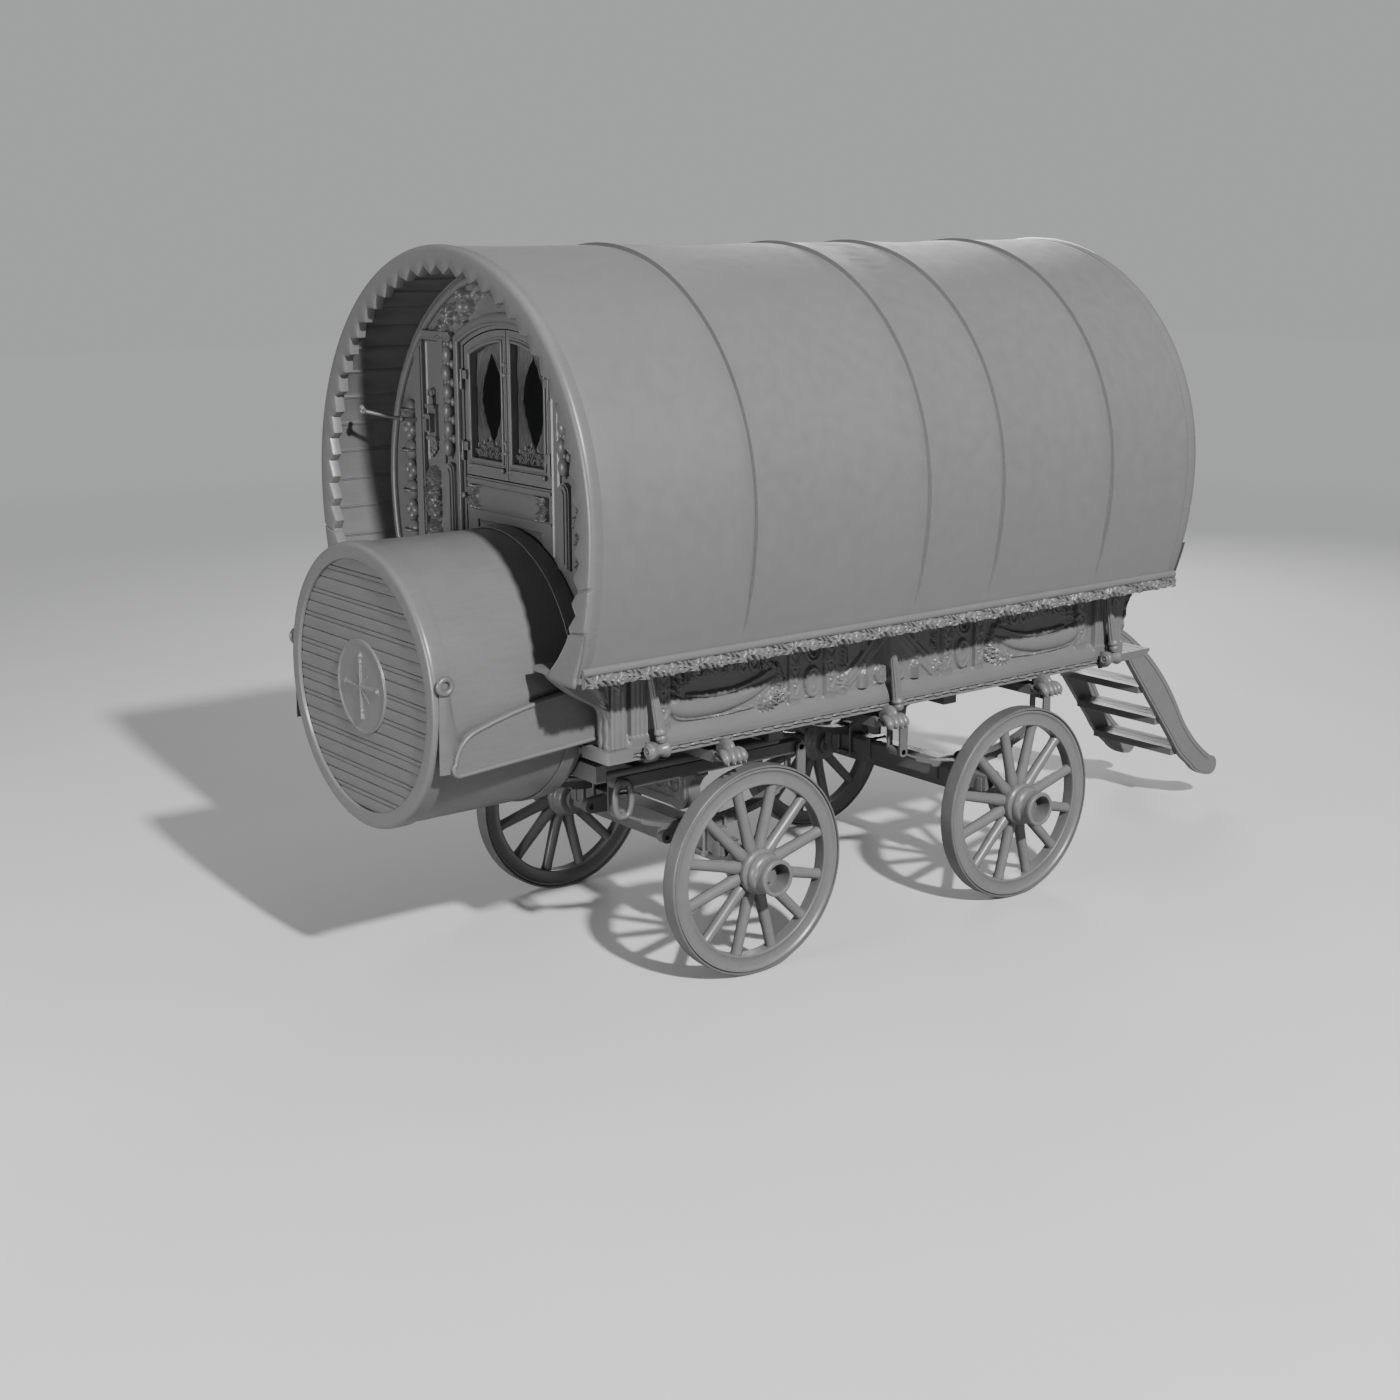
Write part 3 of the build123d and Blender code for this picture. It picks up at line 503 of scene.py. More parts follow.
def makeStudio():
    view = bpy.data.cameras.new("photoView")
    view.lens, view.sensor_width, view.sensor_fit = studio["lens"], 36.0, "HORIZONTAL"
    camera = bpy.data.objects.new("photoView", view)
    camera.location = studio["camera"]
    camera.rotation_euler = (math.radians(studio["tilt"]), 0, math.radians(studio["turn"]))
    bpy.context.scene.collection.objects.link(camera)
    bpy.context.scene.camera = camera
    half = studio["floor"]
    ground = bpy.data.meshes.new("studioFloor")
    ground.from_pydata([
        (-half, -half, 0), (half, -half, 0), (half, half, 0), (-half, half, 0)], [], [(0, 1, 2, 3)])
    floor = bpy.data.objects.new("studioFloor", ground)
    pale, tree, shader = blank("paleFloor")
    place = addNode(tree, "ShaderNodeTexCoord").outputs["Object"]
    seen = addNode(tree, "ShaderNodeLightPath").outputs["Is Camera Ray"]
    white, black, backdrop = (1, 1, 1), (0, 0, 0, 1), (0.41, 0.415, 0.42, 1)
    near = mixTone(tree, noiseNode(tree, place, 0.8, 4.0), toned(white, 0.66), toned(white, 0.72))
    near = mixTone(tree, mathNode(tree, "SUBTRACT", 1.0, seen), near, toned(white, 0.3))
    # far from the wagon the floor turns into the tone of the backdrop, so that no edge shows
    length = addNode(tree, "ShaderNodeVectorMath", {"operation": "LENGTH"}, i0=place).outputs["Value"]
    away = mathNode(tree, "MULTIPLY", rangeNode(tree, length, 5.0, 17.0, 0.0, 1.0), seen)
    feed(tree, shader, {
        "Base Color": mixTone(tree, away, near, black), "Roughness": 0.7, "Specular IOR Level": 0.1,
        "Emission Color": mixTone(tree, away, black, backdrop), "Emission Strength": 1.0})
    ground.materials.append(pale)
    bpy.context.scene.collection.objects.link(floor)
    world = bpy.data.worlds.new("softStudio")
    world.use_nodes = True
    sky = world.node_tree
    sky.nodes["Background"].inputs[0].default_value = (0.82, 0.83, 0.84, 1)
    seen = addNode(sky, "ShaderNodeLightPath").outputs["Is Camera Ray"]
    sky.links.new(rangeNode(sky, seen, 0.0, 1.0, 0.18, 0.5), sky.nodes["Background"].inputs[1])
    bpy.context.scene.world = world
    for name, place, aim, size, power in (
            ("keyLight", (18.0, -4.8, 14.1), (0, 0, 1.5), 1.0, 8400),
            ("fillLight", (0.5, -11.0, 1.9), (0, -1.0, 1.5), 3.0, 560),
            ("topLight", (0.5, 1.0, 9.0), (0, 0, 1.8), 5.0, 80),
            ("rimLight", (-7.0, 8.0, 5.0), (0, 0, 1.6), 5.0, 520)):
        lamp = bpy.data.lights.new(name, "AREA")
        lamp.energy, lamp.size, lamp.shape = power, size, "DISK"
        shown = bpy.data.objects.new(name, lamp)
        way = np.array(aim, float) - place
        shown.location = place
        tilt, turn = math.acos(-way[2] / np.linalg.norm(way)), math.atan2(way[1], way[0]) - math.pi / 2
        shown.rotation_euler = (tilt, 0, turn)
        bpy.context.scene.collection.objects.link(shown)


makeStudio()
print("studio ready")

# The bow section: a half circle on two flatter sides, followed from the left eave over the top
bow = {"round": 1075.0, "spring": 2105.0, "eave": 968.0, "foot": 1545.0}
bowIn, bowDown = bow["round"] - bow["eave"], bow["spring"] - bow["foot"]
bow["side"] = (bowIn ** 2 + bowDown ** 2) / (2 * bowIn)


def archAt(depth, share):
    # along the side arc, the half circle and the other side arc, by their lengths
    depth, share = np.broadcast_arrays(np.asarray(depth, float), np.asarray(share, float))
    low, high = bow["side"] - depth, bow["round"] - depth
    lean = np.arcsin((bow["spring"] - bow["foot"]) / low)
    sideLen = low * lean
    total = 2 * sideLen + np.pi * high
    at = np.minimum(share, 1 - share) * total
    a = lean * (1 - at / sideLen)
    b = (at - sideLen) / high
    onSide = at < sideLen
    x = np.where(onSide, bow["round"] - bow["side"] + low * np.cos(a), high * np.cos(b))
    z = np.where(onSide, bow["spring"] - low * np.sin(a), bow["spring"] + high * np.sin(b))
    return np.where(share > 0.5, -x, x), z


def bump(v, centre, width):
    return np.exp(-((v - centre) / width) ** 2)


def halfRound(v):
    # the height of a half circle, and nothing beyond it
    return np.sqrt(np.clip(1 - v ** 2, 0, 1))


def grid(rows, cols):
    return np.meshgrid(np.linspace(*rows), np.linspace(*cols), indexing="ij")


# Canvas cover
cover = {
    "front": -1084, "rear": 2520, "thick": 8, "bows": (-265, 716, 1180, 1915), "girth": 4525, "rows": 121}


def makeCover():
    # the arch, drawn in before each bow, lifted after it and sagging between bows, with gathers at a seam
    close = [at + np.linspace(-44, 44, 17) for at in cover["bows"]]
    line = np.concatenate([
        np.linspace(cover["front"], cover["rear"], 110), *close, np.linspace(850, 1050, 24)])
    s, y = np.meshgrid(np.linspace(0, 1, cover["rows"]), np.unique(np.round(line)), indexing="ij")
    rise = np.zeros_like(y)
    for at in cover["bows"]:
        rise += np.where(
            y < at, -13 * np.exp(np.minimum(y - at, 0) / 34), 7 * np.exp(-np.maximum(y - at, 0) / 90))
    for a, b, deep in ((-1000, -265, 5), (-265, 716, 11), (716, 1180, 7), (1180, 1915, 10), (1915, 2450, 5)):
        rise -= deep * np.sin(np.pi * np.clip((y - a) / (b - a), 0, 1)) ** 1.2
    along = s * cover["girth"]
    gather = bump(y, 935, 58) * np.sin(along / 13 + 0.9 * np.sin(along / 140))
    gather *= 0.6 + 0.4 * np.sin(along / 310 + 0.6)
    gather += 0.5 * bump(y, 1012, 40) * np.sin(along / 11 + 2.0)
    pull = np.sin(along / 97 + y / 160) * np.sin(y / 210 + 0.7) + 0.6 * np.sin(y / 75 - along / 230)
    fade = np.clip(np.minimum(s, 1 - s) / 0.08, 0, 1) ** 0.7
    rise = (rise + 5.0 * gather + 0.8 * pull) * fade
    height = np.minimum(s, 1 - s) * cover["girth"]
    rise += 4.5 * (height < 62) - 2.0 * bump(height, 66, 6)
    rise -= 5 * bump(y, cover["front"], 30) + 5 * bump(y, cover["rear"], 30)
    x, z = archAt(-rise, s)
    xi, zi = archAt(cover["thick"] - np.clip(rise, -30, 0), s)
    outer, inner = np.stack([x, y, z], -1), np.stack([xi, y, zi], -1)
    uv = np.stack([along, y - cover["front"]], -1).reshape(-1, 2) * 0.001
    made = addPiece("canvasCover", [shellPart(outer, inner)], "canvas", crease=50, uv=np.vstack([uv, uv]))
    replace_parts(made, "canvas_cover")


makeCover()
print("cover stretched")

# Hoops at both ends of the cover
hoop = {
    "front": -1090, "rear": 2526, "teeth": 41, "notch": 80, "tip": 115, "deep": 44,
    "grooves": (0.042, 0.083, 0.917, 0.958)}


def makeHoops():
    # a rolled lip, a flat face and saw teeth carried round the arch, with feet that flare inwards
    cuts = np.concatenate([g + np.array([-0.0022, -0.0008, 0.0008, 0.0022]) for g in hoop["grooves"]])
    share = np.sort(np.concatenate([np.linspace(0, 1, hoop["teeth"] * 8 + 1), cuts]))
    tooth = 1 - np.abs((share * hoop["teeth"]) % 1 - 0.5) * 2
    height = np.minimum(share, 1 - share) * cover["girth"]
    calm = np.clip((height - 130) / 110, 0, 1)
    reach = hoop["notch"] + (hoop["tip"] - hoop["notch"]) * (calm * (1 - tooth) ** 0.9 + 0.4 * (1 - calm))
    reach = reach + 74 * np.clip(1 - height / 240, 0, 1) ** 1.5
    groove = 5 * np.sum([np.abs(share - g) < 0.0015 for g in hoop["grooves"]], axis=0)
    one = np.ones_like(share)
    rows = [(-0.5, 62), (-4, 44), (-6.5, 28), (-6, 15), (-2, 6), (5, 1.5), (13, 0), (24, -0.5), (44, -0.5)]
    depth = np.stack([d * one for d, b in rows] + [reach - 14, reach - 5, reach, reach, 9 * one, 9 * one], 1)
    inside = [10 * one, hoop["deep"] * one, hoop["deep"] * one, 62 * one]
    back = np.stack([b + groove for d, b in rows] + [groove + 0.5, groove + 3, *inside], 1)
    x, z = archAt(depth, np.broadcast_to(share[:, None], depth.shape))
    ends = ((hoop["front"], 1), (hoop["rear"], -1))
    parts = [tubePart(np.stack([x, y0 + way * back, z], -1)) for y0, way in ends]
    v, u = grid((0, 1, 26), (0, 1, 22))
    up = np.clip(v - 0.22, 0, 1) / 0.78 * 190
    drop = np.clip(0.22 - v, 0, 1) / 0.22
    inner = hoop["notch"] + 12 + 74 * np.clip(1 - up / 240, 0, 1) ** 1.5
    x0, z0 = archAt(inner + 14 * drop ** 2, up / cover["girth"])
    x1, z1 = archAt(-5 + 12 * drop ** 3, up / cover["girth"])
    x, z = x0 + u * (x1 - x0), z0 + u * (z1 - z0) - 46 * drop + 14 * drop * (1 - u) ** 3
    proud = 10 * (1 - v) ** 0.8 * np.sqrt(np.clip(1 - np.abs(2 * u - 1) ** 8, 0, 1))
    proud *= np.sqrt(np.clip(1 - drop ** 6, 0, 1))
    for y0, way in ((hoop["front"], -1), (hoop["rear"] + 8, 1)):
        face = np.stack([x, y0 + way * (0.8 + proud), z], -1)
        parts += bothSides([shellPart(face, np.stack([x, np.full_like(x, y0 + way * 0.4), z], -1))])
    made = addPiece("toothedHoops", parts, "carved", crease=40)
    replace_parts(made, "valances")


makeHoops()
print("hoops made")

# Wheels
wheel = {"track": 753, "base": 1680, "axle": 480, "spokes": 12}


def makeWheel(label, side, y):
    # turned rings about the axle, with twelve swelling spokes between nave and felloes
    centre = (side * wheel["track"], y, wheel["axle"])
    axis = (side, 0, 0)
    tyre = softened([(-40, 467.7), (40, 467.7), (40, 477), (34, 480), (-34, 480), (-40, 477)], 2, True, 0.2)
    rim = softened([
        (-36, 467.4), (36, 467.4), (36, 456), (33, 453), (27, 446), (25, 428), (27, 410), (33, 398),
        (31, 391), (24, 389.6), (-24, 389.6), (-31, 391), (-33, 398), (-27, 410), (-25, 428), (-27, 446),
        (-33, 453), (-36, 456)], 2, True, 0.2)
    nave = softened([
        (-110, 30.3), (-110, 80), (-100, 86), (-66, 88), (-58, 98), (-52, 105), (-30, 104), (-24, 100),
        (24, 100), (30, 104), (52, 105), (58, 98), (66, 92), (78, 95), (90, 92), (100, 88), (106, 77),
        (138, 76), (146, 83), (166, 84.5), (173, 80), (173, 66), (168, 64), (70, 64),
        (70, 30.3)], 2, True, 0.2)
    hub = [turned(nave, centre, axis, 48, ring=True)]
    reach = np.linspace(93, 388.4, 16)
    f = (reach - 93) / (388.4 - 93)
    fat = 28.5 - 4 * f + 3 * bump(f, 0.1, 0.1) + 3 * bump(f, 1.0, 0.06)
    for k in range(wheel["spokes"]):
        a = 2 * np.pi * (k + 0.5) / wheel["spokes"]
        way = np.array([0, np.sin(a), np.cos(a)])
        path = np.array(centre) + reach[:, None] * way
        hub.append(rod(path, roundSection(1, 12), fat, (1, 0, 0)))
    body = f"{label}_wheel"
    for name, parts, finish, node in (
            ("Tyre", [turned(tyre, centre, axis, 96, ring=True)], "iron", "tyre"),
            ("Felloes", [turned(rim, centre, axis, 96, ring=True)], "wheel", "felloes"),
            ("Spokes", hub, "wheel", "spoked_nave")):
        made = addPiece(label.replace("_l", "L").replace("_r", "R") + name, parts, finish, body)
        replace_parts(made, f"{label}_{node}")


for label, side, y in (
        ("front_left", 1, 0), ("front_right", -1, 0), ("rear_left", 1, wheel["base"]),
        ("rear_right", -1, wheel["base"])):
    makeWheel(label, side, y)
print("wheels turned")

# Drum on the fore end
drum = {"z": 1394, "front": -1518, "head": 534, "planks": 27, "medallion": 202}


def makeDrum():
    # hoops are turned sections; the head is a row of crowned planks whose ends follow the rim
    centre, axis = (0, drum["front"], drum["z"]), (0, 1, 0)
    rim = softened([
        (18, 534), (4, 536), (0, 541), (0, 584), (2, 594), (8, 602), (18, 606), (83, 606), (85, 604),
        (85, 597.9), (20, 597.9)], 2, True, 0.22)
    rear = softened([
        (668, 597.9), (668, 604), (670, 606), (750, 606), (753, 604), (753, 597.9)], 2, True, 0.2)
    parts = [turned(rim, centre, axis, 128, ring=True), turned(rear, centre, axis, 128, ring=True)]
    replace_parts(addPiece("drumHoops", parts, "drum", crease=30), "drum_hoops")
    size = np.resize([1.0, 0.34, 0.9, 0.8, 0.3, 1.1, 0.75, 0.36, 0.95], drum["planks"])
    edges = np.concatenate([[0], np.cumsum(size)]) / size.sum() * 2 * drum["head"] - drum["head"]
    planks = []
    for k in range(drum["planks"]):
        t, u = grid((0.02, 0.98, 9), (-1, 1, 15))
        z = edges[k] + t * (edges[k + 1] - edges[k])
        wide = np.sqrt(np.clip((drum["head"] + 5) ** 2 - z ** 2, 900, None))
        crown = 8.5 * (1 - np.abs(2 * t - 1) ** 9) ** 0.5 + 0.3 * np.sin(3 * u + 1.7 * k)
        face = np.stack([u * wide, drum["front"] + 24 - crown, drum["z"] + z], -1)
        back = np.stack([u * wide, np.full_like(z, drum["front"] + 40), drum["z"] + z], -1)
        planks.append(shellPart(face, back))
    rearHead = softened([(713, 1), (713, 560), (743, 560), (743, 1)], 1, False, 0.1)
    planks.append(turned(rearHead, centre, axis, 96))
    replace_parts(addPiece("drumPlanks", planks, "drumHead"), "drum_heads")


makeDrum()
print("drum coopered")


# Carving: each motif gives a height in mm over arrays of places, s along the panel and t up it
def stroke(s, t, line, width, crown):
    # a half-round ridge along a line: the half circle of the distance to its nearest point, in widths
    line = np.asarray(line, float)
    width, crown = np.broadcast_to(width, len(line)), np.broadcast_to(crown, len(line))
    high, reach = np.zeros_like(s), width.max()
    near = (s > line[:, 0].min() - reach) & (s < line[:, 0].max() + reach)
    near &= (t > line[:, 1].min() - reach) & (t < line[:, 1].max() + reach)
    if near.any():
        far = (s[near][:, None] - line[:, 0]) ** 2 + (t[near][:, None] - line[:, 1]) ** 2
        high[near] = (crown * np.sqrt(np.clip(1 - far / width ** 2, 0, 1))).max(1)
    return high


def volute(centre, r, turns, start, hand, count=46):
    # a spiral line that runs in from radius r to a seventh of it
    f = np.linspace(0, 1, count)
    a = start + hand * 2 * np.pi * turns * f
    size = r * np.exp(-1.95 * f)
    return np.stack([centre[0] + size * np.cos(a), centre[1] + size * np.sin(a)], 1)


def leaf(s, t, foot, angle, long, wide, crown, lobes=4):
    # a lobed leaf: half round across, with ribs that sweep forward from a raised midrib
    c, k = math.cos(angle), math.sin(angle)
    p = ((s - foot[0]) * c + (t - foot[1]) * k) / long
    q = ((t - foot[1]) * c - (s - foot[0]) * k) / wide
    inside = (p > 0) & (p < 1)
    p = np.clip(p, 0, 1)
    edge = np.sin(np.pi * p ** 0.8) ** 0.8 * (0.8 + 0.2 * np.cos(2 * np.pi * lobes * (p + 0.1))) + 1e-6
    body = halfRound(q / edge) * (0.62 + 0.38 * np.sin(np.pi * p))
    ribs = 0.2 * np.cos(2 * np.pi * lobes * (p - 0.3 * np.abs(q))) + 0.25 * np.exp(-(q / 0.12) ** 2)
    return np.where(inside, crown * np.clip(body * (0.8 + ribs), 0, None), 0)


def rosette(s, t, centre, r, petals, crown):
    # petals by the cosine of the angle, round a boss
    rho = np.hypot(s - centre[0], t - centre[1]) / r
    a = np.arctan2(t - centre[1], s - centre[0])
    petal = 0.74 + 0.26 * np.cos(petals * a)
    ring = halfRound(rho / petal) * (0.55 + 0.45 * np.clip(rho / 0.5, 0, 1))
    return crown * np.maximum(ring, halfRound(rho / 0.3))


def ovalRing(s, t, centre, a, b, width, crown):
    rho = np.hypot((s - centre[0]) / a, (t - centre[1]) / b)
    return crown * halfRound(np.abs(rho - 1) * min(a, b) / width)


def boss(s, t, centre, r, crown):
    return crown * np.sqrt(np.clip(1 - ((s - centre[0]) ** 2 + (t - centre[1]) ** 2) / r ** 2, 0, 1))


def frameRidge(s, t, x0, x1, z0, z1, width, crown):
    # distance to the edge of a rectangle, in widths
    far = np.maximum(np.abs(s - (x0 + x1) / 2) - (x1 - x0) / 2, np.abs(t - (z0 + z1) / 2) - (z1 - z0) / 2)
    return crown * halfRound(far / width)


def highest(*heights):
    return np.maximum.reduce(heights)


# Carved side walls
wall = {
    "front": -689.7, "rear": 2349.7, "low": 1133, "high": 1522, "face": 735, "inner": 700, "rows": 600,
    "cols": 80, "mid": 830}


def tassel(s, t, top, long, wide, crown):
    # a bell on a cord: half round across, with grooves that run down the bell
    p = (top[1] - t) / long
    half = wide * (0.16 + 0.84 * np.clip((p - 0.3) / 0.25, 0, 1) ** 0.6)
    q = (s - top[0]) / half
    body = halfRound(q) * (0.82 + 0.18 * np.cos(6 * np.pi * q) * (p > 0.5))
    return np.where((p > 0) & (p < 1), crown * body * (1 + 0.25 * bump(p, 0.42, 0.05)), 0)


def hornOfPlenty(s, t):
    # a fat ribbed tube along a curve, a rolled cloth above it, leaves at its ends and a thin stem below
    horn = smoothLine([
        (1262, 1306), (1236, 1276), (1160, 1260), (1040, 1254), (920, 1262), (810, 1284), (694, 1326)], 170)
    run = np.linspace(0, 1, 170)
    fat = np.interp(run, [0, 0.1, 0.3, 0.55, 0.8, 1], [28, 40, 43, 38, 27, 8])
    cloth = smoothLine([(1180, 1322), (1060, 1308), (930, 1310), (810, 1336), (720, 1372)], 80)
    roll = np.interp(np.linspace(0, 1, 80), [0, 0.3, 1], [8, 15, 7])
    stem = smoothLine([(1290, 1306), (1246, 1234), (1150, 1213), (980, 1208), (820, 1216)], 60)
    motifs = [stroke(s, t, horn, fat, 0.74 * fat * (0.92 + 0.08 * np.cos(run * 190)))]
    motifs += [stroke(s, t, cloth, roll, 19), stroke(s, t, stem, 7, 13)]
    for k in range(7):
        motifs.append(leaf(s, t, (740 + 6 * k, 1240 + 3 * k), 2.6 + 0.34 * k, 100 - 5 * abs(k - 3), 20, 25))
    motifs += [leaf(s, t, (1216, 1330 + 6 * k), 0.5 + 0.45 * k, 92, 20, 23) for k in range(5)]
    return highest(*motifs)


def carvedStrip(s, t, at, wide, crown):
    # an upright of stacked leaves and buds between two beads
    motifs = [np.where(np.abs(s - at) < wide, 11.0, 0)]
    for side in (-1, 1):
        bead = np.stack([np.full(60, at + side * wide), np.linspace(1206, 1500, 60)], 1)
        motifs.append(stroke(s, t, bead, 5, 17))
    for k in range(4):
        z = 1212 + 72 * k
        motifs.append(9 + boss(s, t, (at, z + 60), 9, 0.7 * crown))
        for side in (-1, 1):
            curl = volute((at + side * 0.42 * wide, z + 8), 11, 1.2, 0, side)
            motifs.append(9 + leaf(s, t, (at, z), np.pi / 2 - side * 0.42, 62, 11, 0.6 * crown))
            motifs.append(9 + stroke(s, t, curl, 4, 0.5 * crown))
    return np.where(np.abs(s - at) < wide + 6, highest(*motifs), 0)


def carveSide(y, t):
    # the ornament is the same to both sides of the middle, so it is worked out on the distance from there
    s = np.abs(y - wall["mid"])
    deep = -15
    cove = np.clip((1200 - t) / 67, 0, 1)
    ground = deep + 30 * np.sin(0.5 * np.pi * cove) ** 0.9
    ground = np.where(t > 1488, np.maximum(ground, deep + 21 * np.clip((t - 1488) / 10, 0, 1)), ground)
    motifs = [hornOfPlenty(s, t)]
    for hub, size, hand in (((1130, 1420), 44, 1), ((1030, 1428), 38, -1), ((946, 1414), 34, 1)):
        curl = volute(hub, size, 1.6, 0.5 * np.pi, hand)
        motifs += [stroke(s, t, curl, 9, 20), boss(s, t, hub, 13, 22)]
    for at, up, wide in (((880, 1424), 42, 22), ((816, 1428), 46, 26), ((748, 1428), 44, 22)):
        dome = 1 - ((s - at[0]) / (0.62 * wide)) ** 2 - ((t - at[1]) / (0.7 * up)) ** 2
        motifs += [ovalRing(s, t, at, wide, up, 8, 17), 22 * np.sqrt(np.clip(dome, 0, 1))]
    high, low, disc = (474, 1428), (474, 1278), (52, 1252)
    motifs += [
        ovalRing(s, t, high, 46, 54, 9, 19), ovalRing(s, t, high, 26, 34, 7, 17), boss(s, t, high, 15, 19),
        np.where(np.hypot((s - low[0]) / 42, (t - low[1]) / 62) < 1, 12.0, 0),
        ovalRing(s, t, low, 42, 62, 7, 17), rosette(s, t, (474, 1306), 27, 6, 21),
        rosette(s, t, (474, 1250), 27, 6, 21)]
    ribbon = smoothLine([(0, 1486), (90, 1404), (190, 1314), (296, 1222)], 90)
    motifs += [
        np.minimum(stroke(s, t, ribbon, 34, 26), 11), stroke(s, t, ribbon, 5, 16),
        tassel(s, t, (166, 1326), 124, 32, 28), tassel(s, t, (168, 1496), 112, 24, 23),
        rosette(s, t, (292, 1246), 40, 7, 26), rosette(s, t, disc, 24, 8, 19),
        ovalRing(s, t, disc, 38, 38, 6, 17), np.where(np.hypot(s - disc[0], t - disc[1]) < 38, 13.0, 0)]
    motifs += [leaf(s, t, (690 + 26 * k, 1372), 0.7 + 0.4 * k, 62, 15, 21) for k in range(5)]
    for k in range(6):
        motifs += [
            leaf(s, t, (1214 - 46 * k, 1384 - 4 * (k % 2)), 1.2 + 0.16 * k, 92, 20, 20),
            leaf(s, t, (300 - 6 * k, 1310 + 24 * k), 2.2 - 0.22 * k, 66, 17, 20),
            leaf(s, t, (668, 1214 + 24 * k), 2.6 - 0.25 * k, 66, 16, 21),
            leaf(s, t, (196 + 20 * k, 1478), -1.9 + 0.1 * k, 62, 14, 19)]
    motifs += [leaf(s, t, (44 + 52 * k, 1208), 0.55 + 2.0 * (k % 2), 58, 14, 12) for k in range(12)]
    motifs += [carvedStrip(s, t, at, wide, 17) for at, wide in ((368, 30), (580, 28), (1312, 32))]
    d = np.abs(s - 1448)
    fluted = np.where(d < 46, 5 + 2.0 * np.cos(2 * np.pi * d / 23.0), -20)
    post = np.where((d < 50) & ((t > 1462) | (t < 1190)), 13.0, fluted)
    return highest(ground, deep + highest(*motifs), post)


def makeSides():
    # the carved height stands out from the wall's face, over a plain back
    y, z = grid((wall["front"], wall["rear"], wall["rows"]), (wall["low"], wall["high"], wall["cols"]))
    face = np.stack([wall["face"] + carveSide(y, z), y, z], -1)
    part = reliefPart(*backed(face, 0, wall["inner"]))
    for name, made in (("left", part), ("right", mirrored(part))):
        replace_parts(addPiece("carvedSide" + name.title(), [made], "carved", crease=60), "side_wall_" + name)


makeSides()
print("side walls carved")

# Mouldings along the eaves and the sill
edging = {
    "eaveFront": -1076, "eaveRear": 2512, "eaveLow": 1499, "eaveHigh": 1582, "sillFront": -760,
    "sillRear": 2430, "sillLow": 1085}


def makeEdging():
    # eaves: a lobed running stem below a plain roll; sill: a leaf chain over a half-round
    y, v = grid((edging["eaveFront"], edging["eaveRear"], 800), (0, 1, 19))
    low = edging["eaveLow"] + 5 * np.abs(np.sin(np.pi * y / 64))
    z = low + v * (edging["eaveHigh"] - low)
    stem = 1523 + 8 * np.sin(2 * np.pi * y / 126)
    far = np.abs(z - stem)
    lean = 0.85 * far * np.sign(np.sin(2 * np.pi * y / 252 + 0.4))
    lobe = np.sin(2 * np.pi * (y - lean) / 31.5 + 0.8 * np.sin(2 * np.pi * y / 84))
    frieze = 23 * np.clip(1.1 + 1.5 * lobe, 0, 1) ** 0.6 * halfRound(far / 31)
    frieze = np.maximum(frieze, 20 * halfRound(far / 5))
    roll = 17 * halfRound((z - 1565) / 17)
    x = 989 + np.where(z > 1548, np.maximum(roll, 2), np.clip(frieze, 1.5, 19))
    eave = reliefPart(*backed(np.stack([x, y, z], -1), 0, 985.3))
    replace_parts(addPiece("eavesCarving", bothSides([eave]), "carved", crease=60), "eaves_mouldings")
    y, v = grid((edging["sillFront"], edging["sillRear"], 540), (0, 1, 16))
    bead = 3 + 13 * halfRound((v - 0.13) / 0.135)
    swell = np.sqrt(1 - (np.abs((y / 58) % 1 - 0.5) * 2) ** 2)
    tip = np.sin(np.pi * y / 58)
    chain = 0.8 + 18 * halfRound((v - 0.49 - 0.05 * tip) / (0.03 + 0.16 * swell)) * (0.5 + 0.5 * swell)
    band = 15.5 + 2 * np.clip((v - 0.72) / 0.28, 0, 1)
    x = 735.3 + np.where(v < 0.27, bead, np.where(v < 0.72, chain, band))
    sill = reliefPart(*backed(np.stack([x, y, edging["sillLow"] + 47.7 * v], -1), 0, 735.3))
    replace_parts(addPiece("sillChain", bothSides([sill]), "carved", crease=60), "sill_mouldings")


makeEdging()
print("edging carved")


# Small solids that several pieces share
def blob(centre, size, rows=9, cols=14):
    # an oval ball: a half circle spun about the upright axis
    a = np.linspace(-0.49 * np.pi, 0.49 * np.pi, rows)
    ball = spin(np.stack([np.sin(a), np.cos(a)], 1), (0, 0, 0), (0, 0, 1), cols)
    return tubePart(ball * np.asarray(size, float) + np.asarray(centre, float))


def tubeLine(points, r, count=40, sides=10, up=(0, 0, 1), smooth=True, taper=None):
    path = smoothLine(points, count) if smooth else np.asarray(points, float)
    taper = np.asarray((1, 1) if taper is None else taper, float) * r
    scale = np.interp(np.linspace(0, 1, len(path)), np.linspace(0, 1, len(taper)), taper)
    return rod(path, roundSection(1, sides), scale, up)


def boxPart(x0, x1, y0, y1, z0, z1, ease=4):
    # a board with its long edges eased
    r = min(ease, 0.45 * min(x1 - x0, z1 - z0))
    line = []
    for k, middle in enumerate(((x1 - r, z1 - r), (x0 + r, z1 - r), (x0 + r, z0 + r), (x1 - r, z0 + r))):
        a = np.linspace(k, k + 1, 4) * np.pi / 2
        line.append(np.stack([np.cos(a), np.sin(a)], 1) * r + middle)
    return slabPart(np.vstack(line), "xz", y0, y1)


def ringPart(centre, axis, big, thick, count=36, sides=12):
    a = np.arange(sides) * 2 * np.pi / sides
    return turned(np.stack([thick * np.sin(a), big + thick * np.cos(a)], 1), centre, axis, count, ring=True)


# Struts, feet and brackets, all under the ledges
ledgeFoot = 1521.7
stay = {
    "y": (-567, 806, 2296), "footZ": (1163, 1088, 1163), "footX": (797, 788, 797), "top": ledgeFoot,
    "topX": 771}


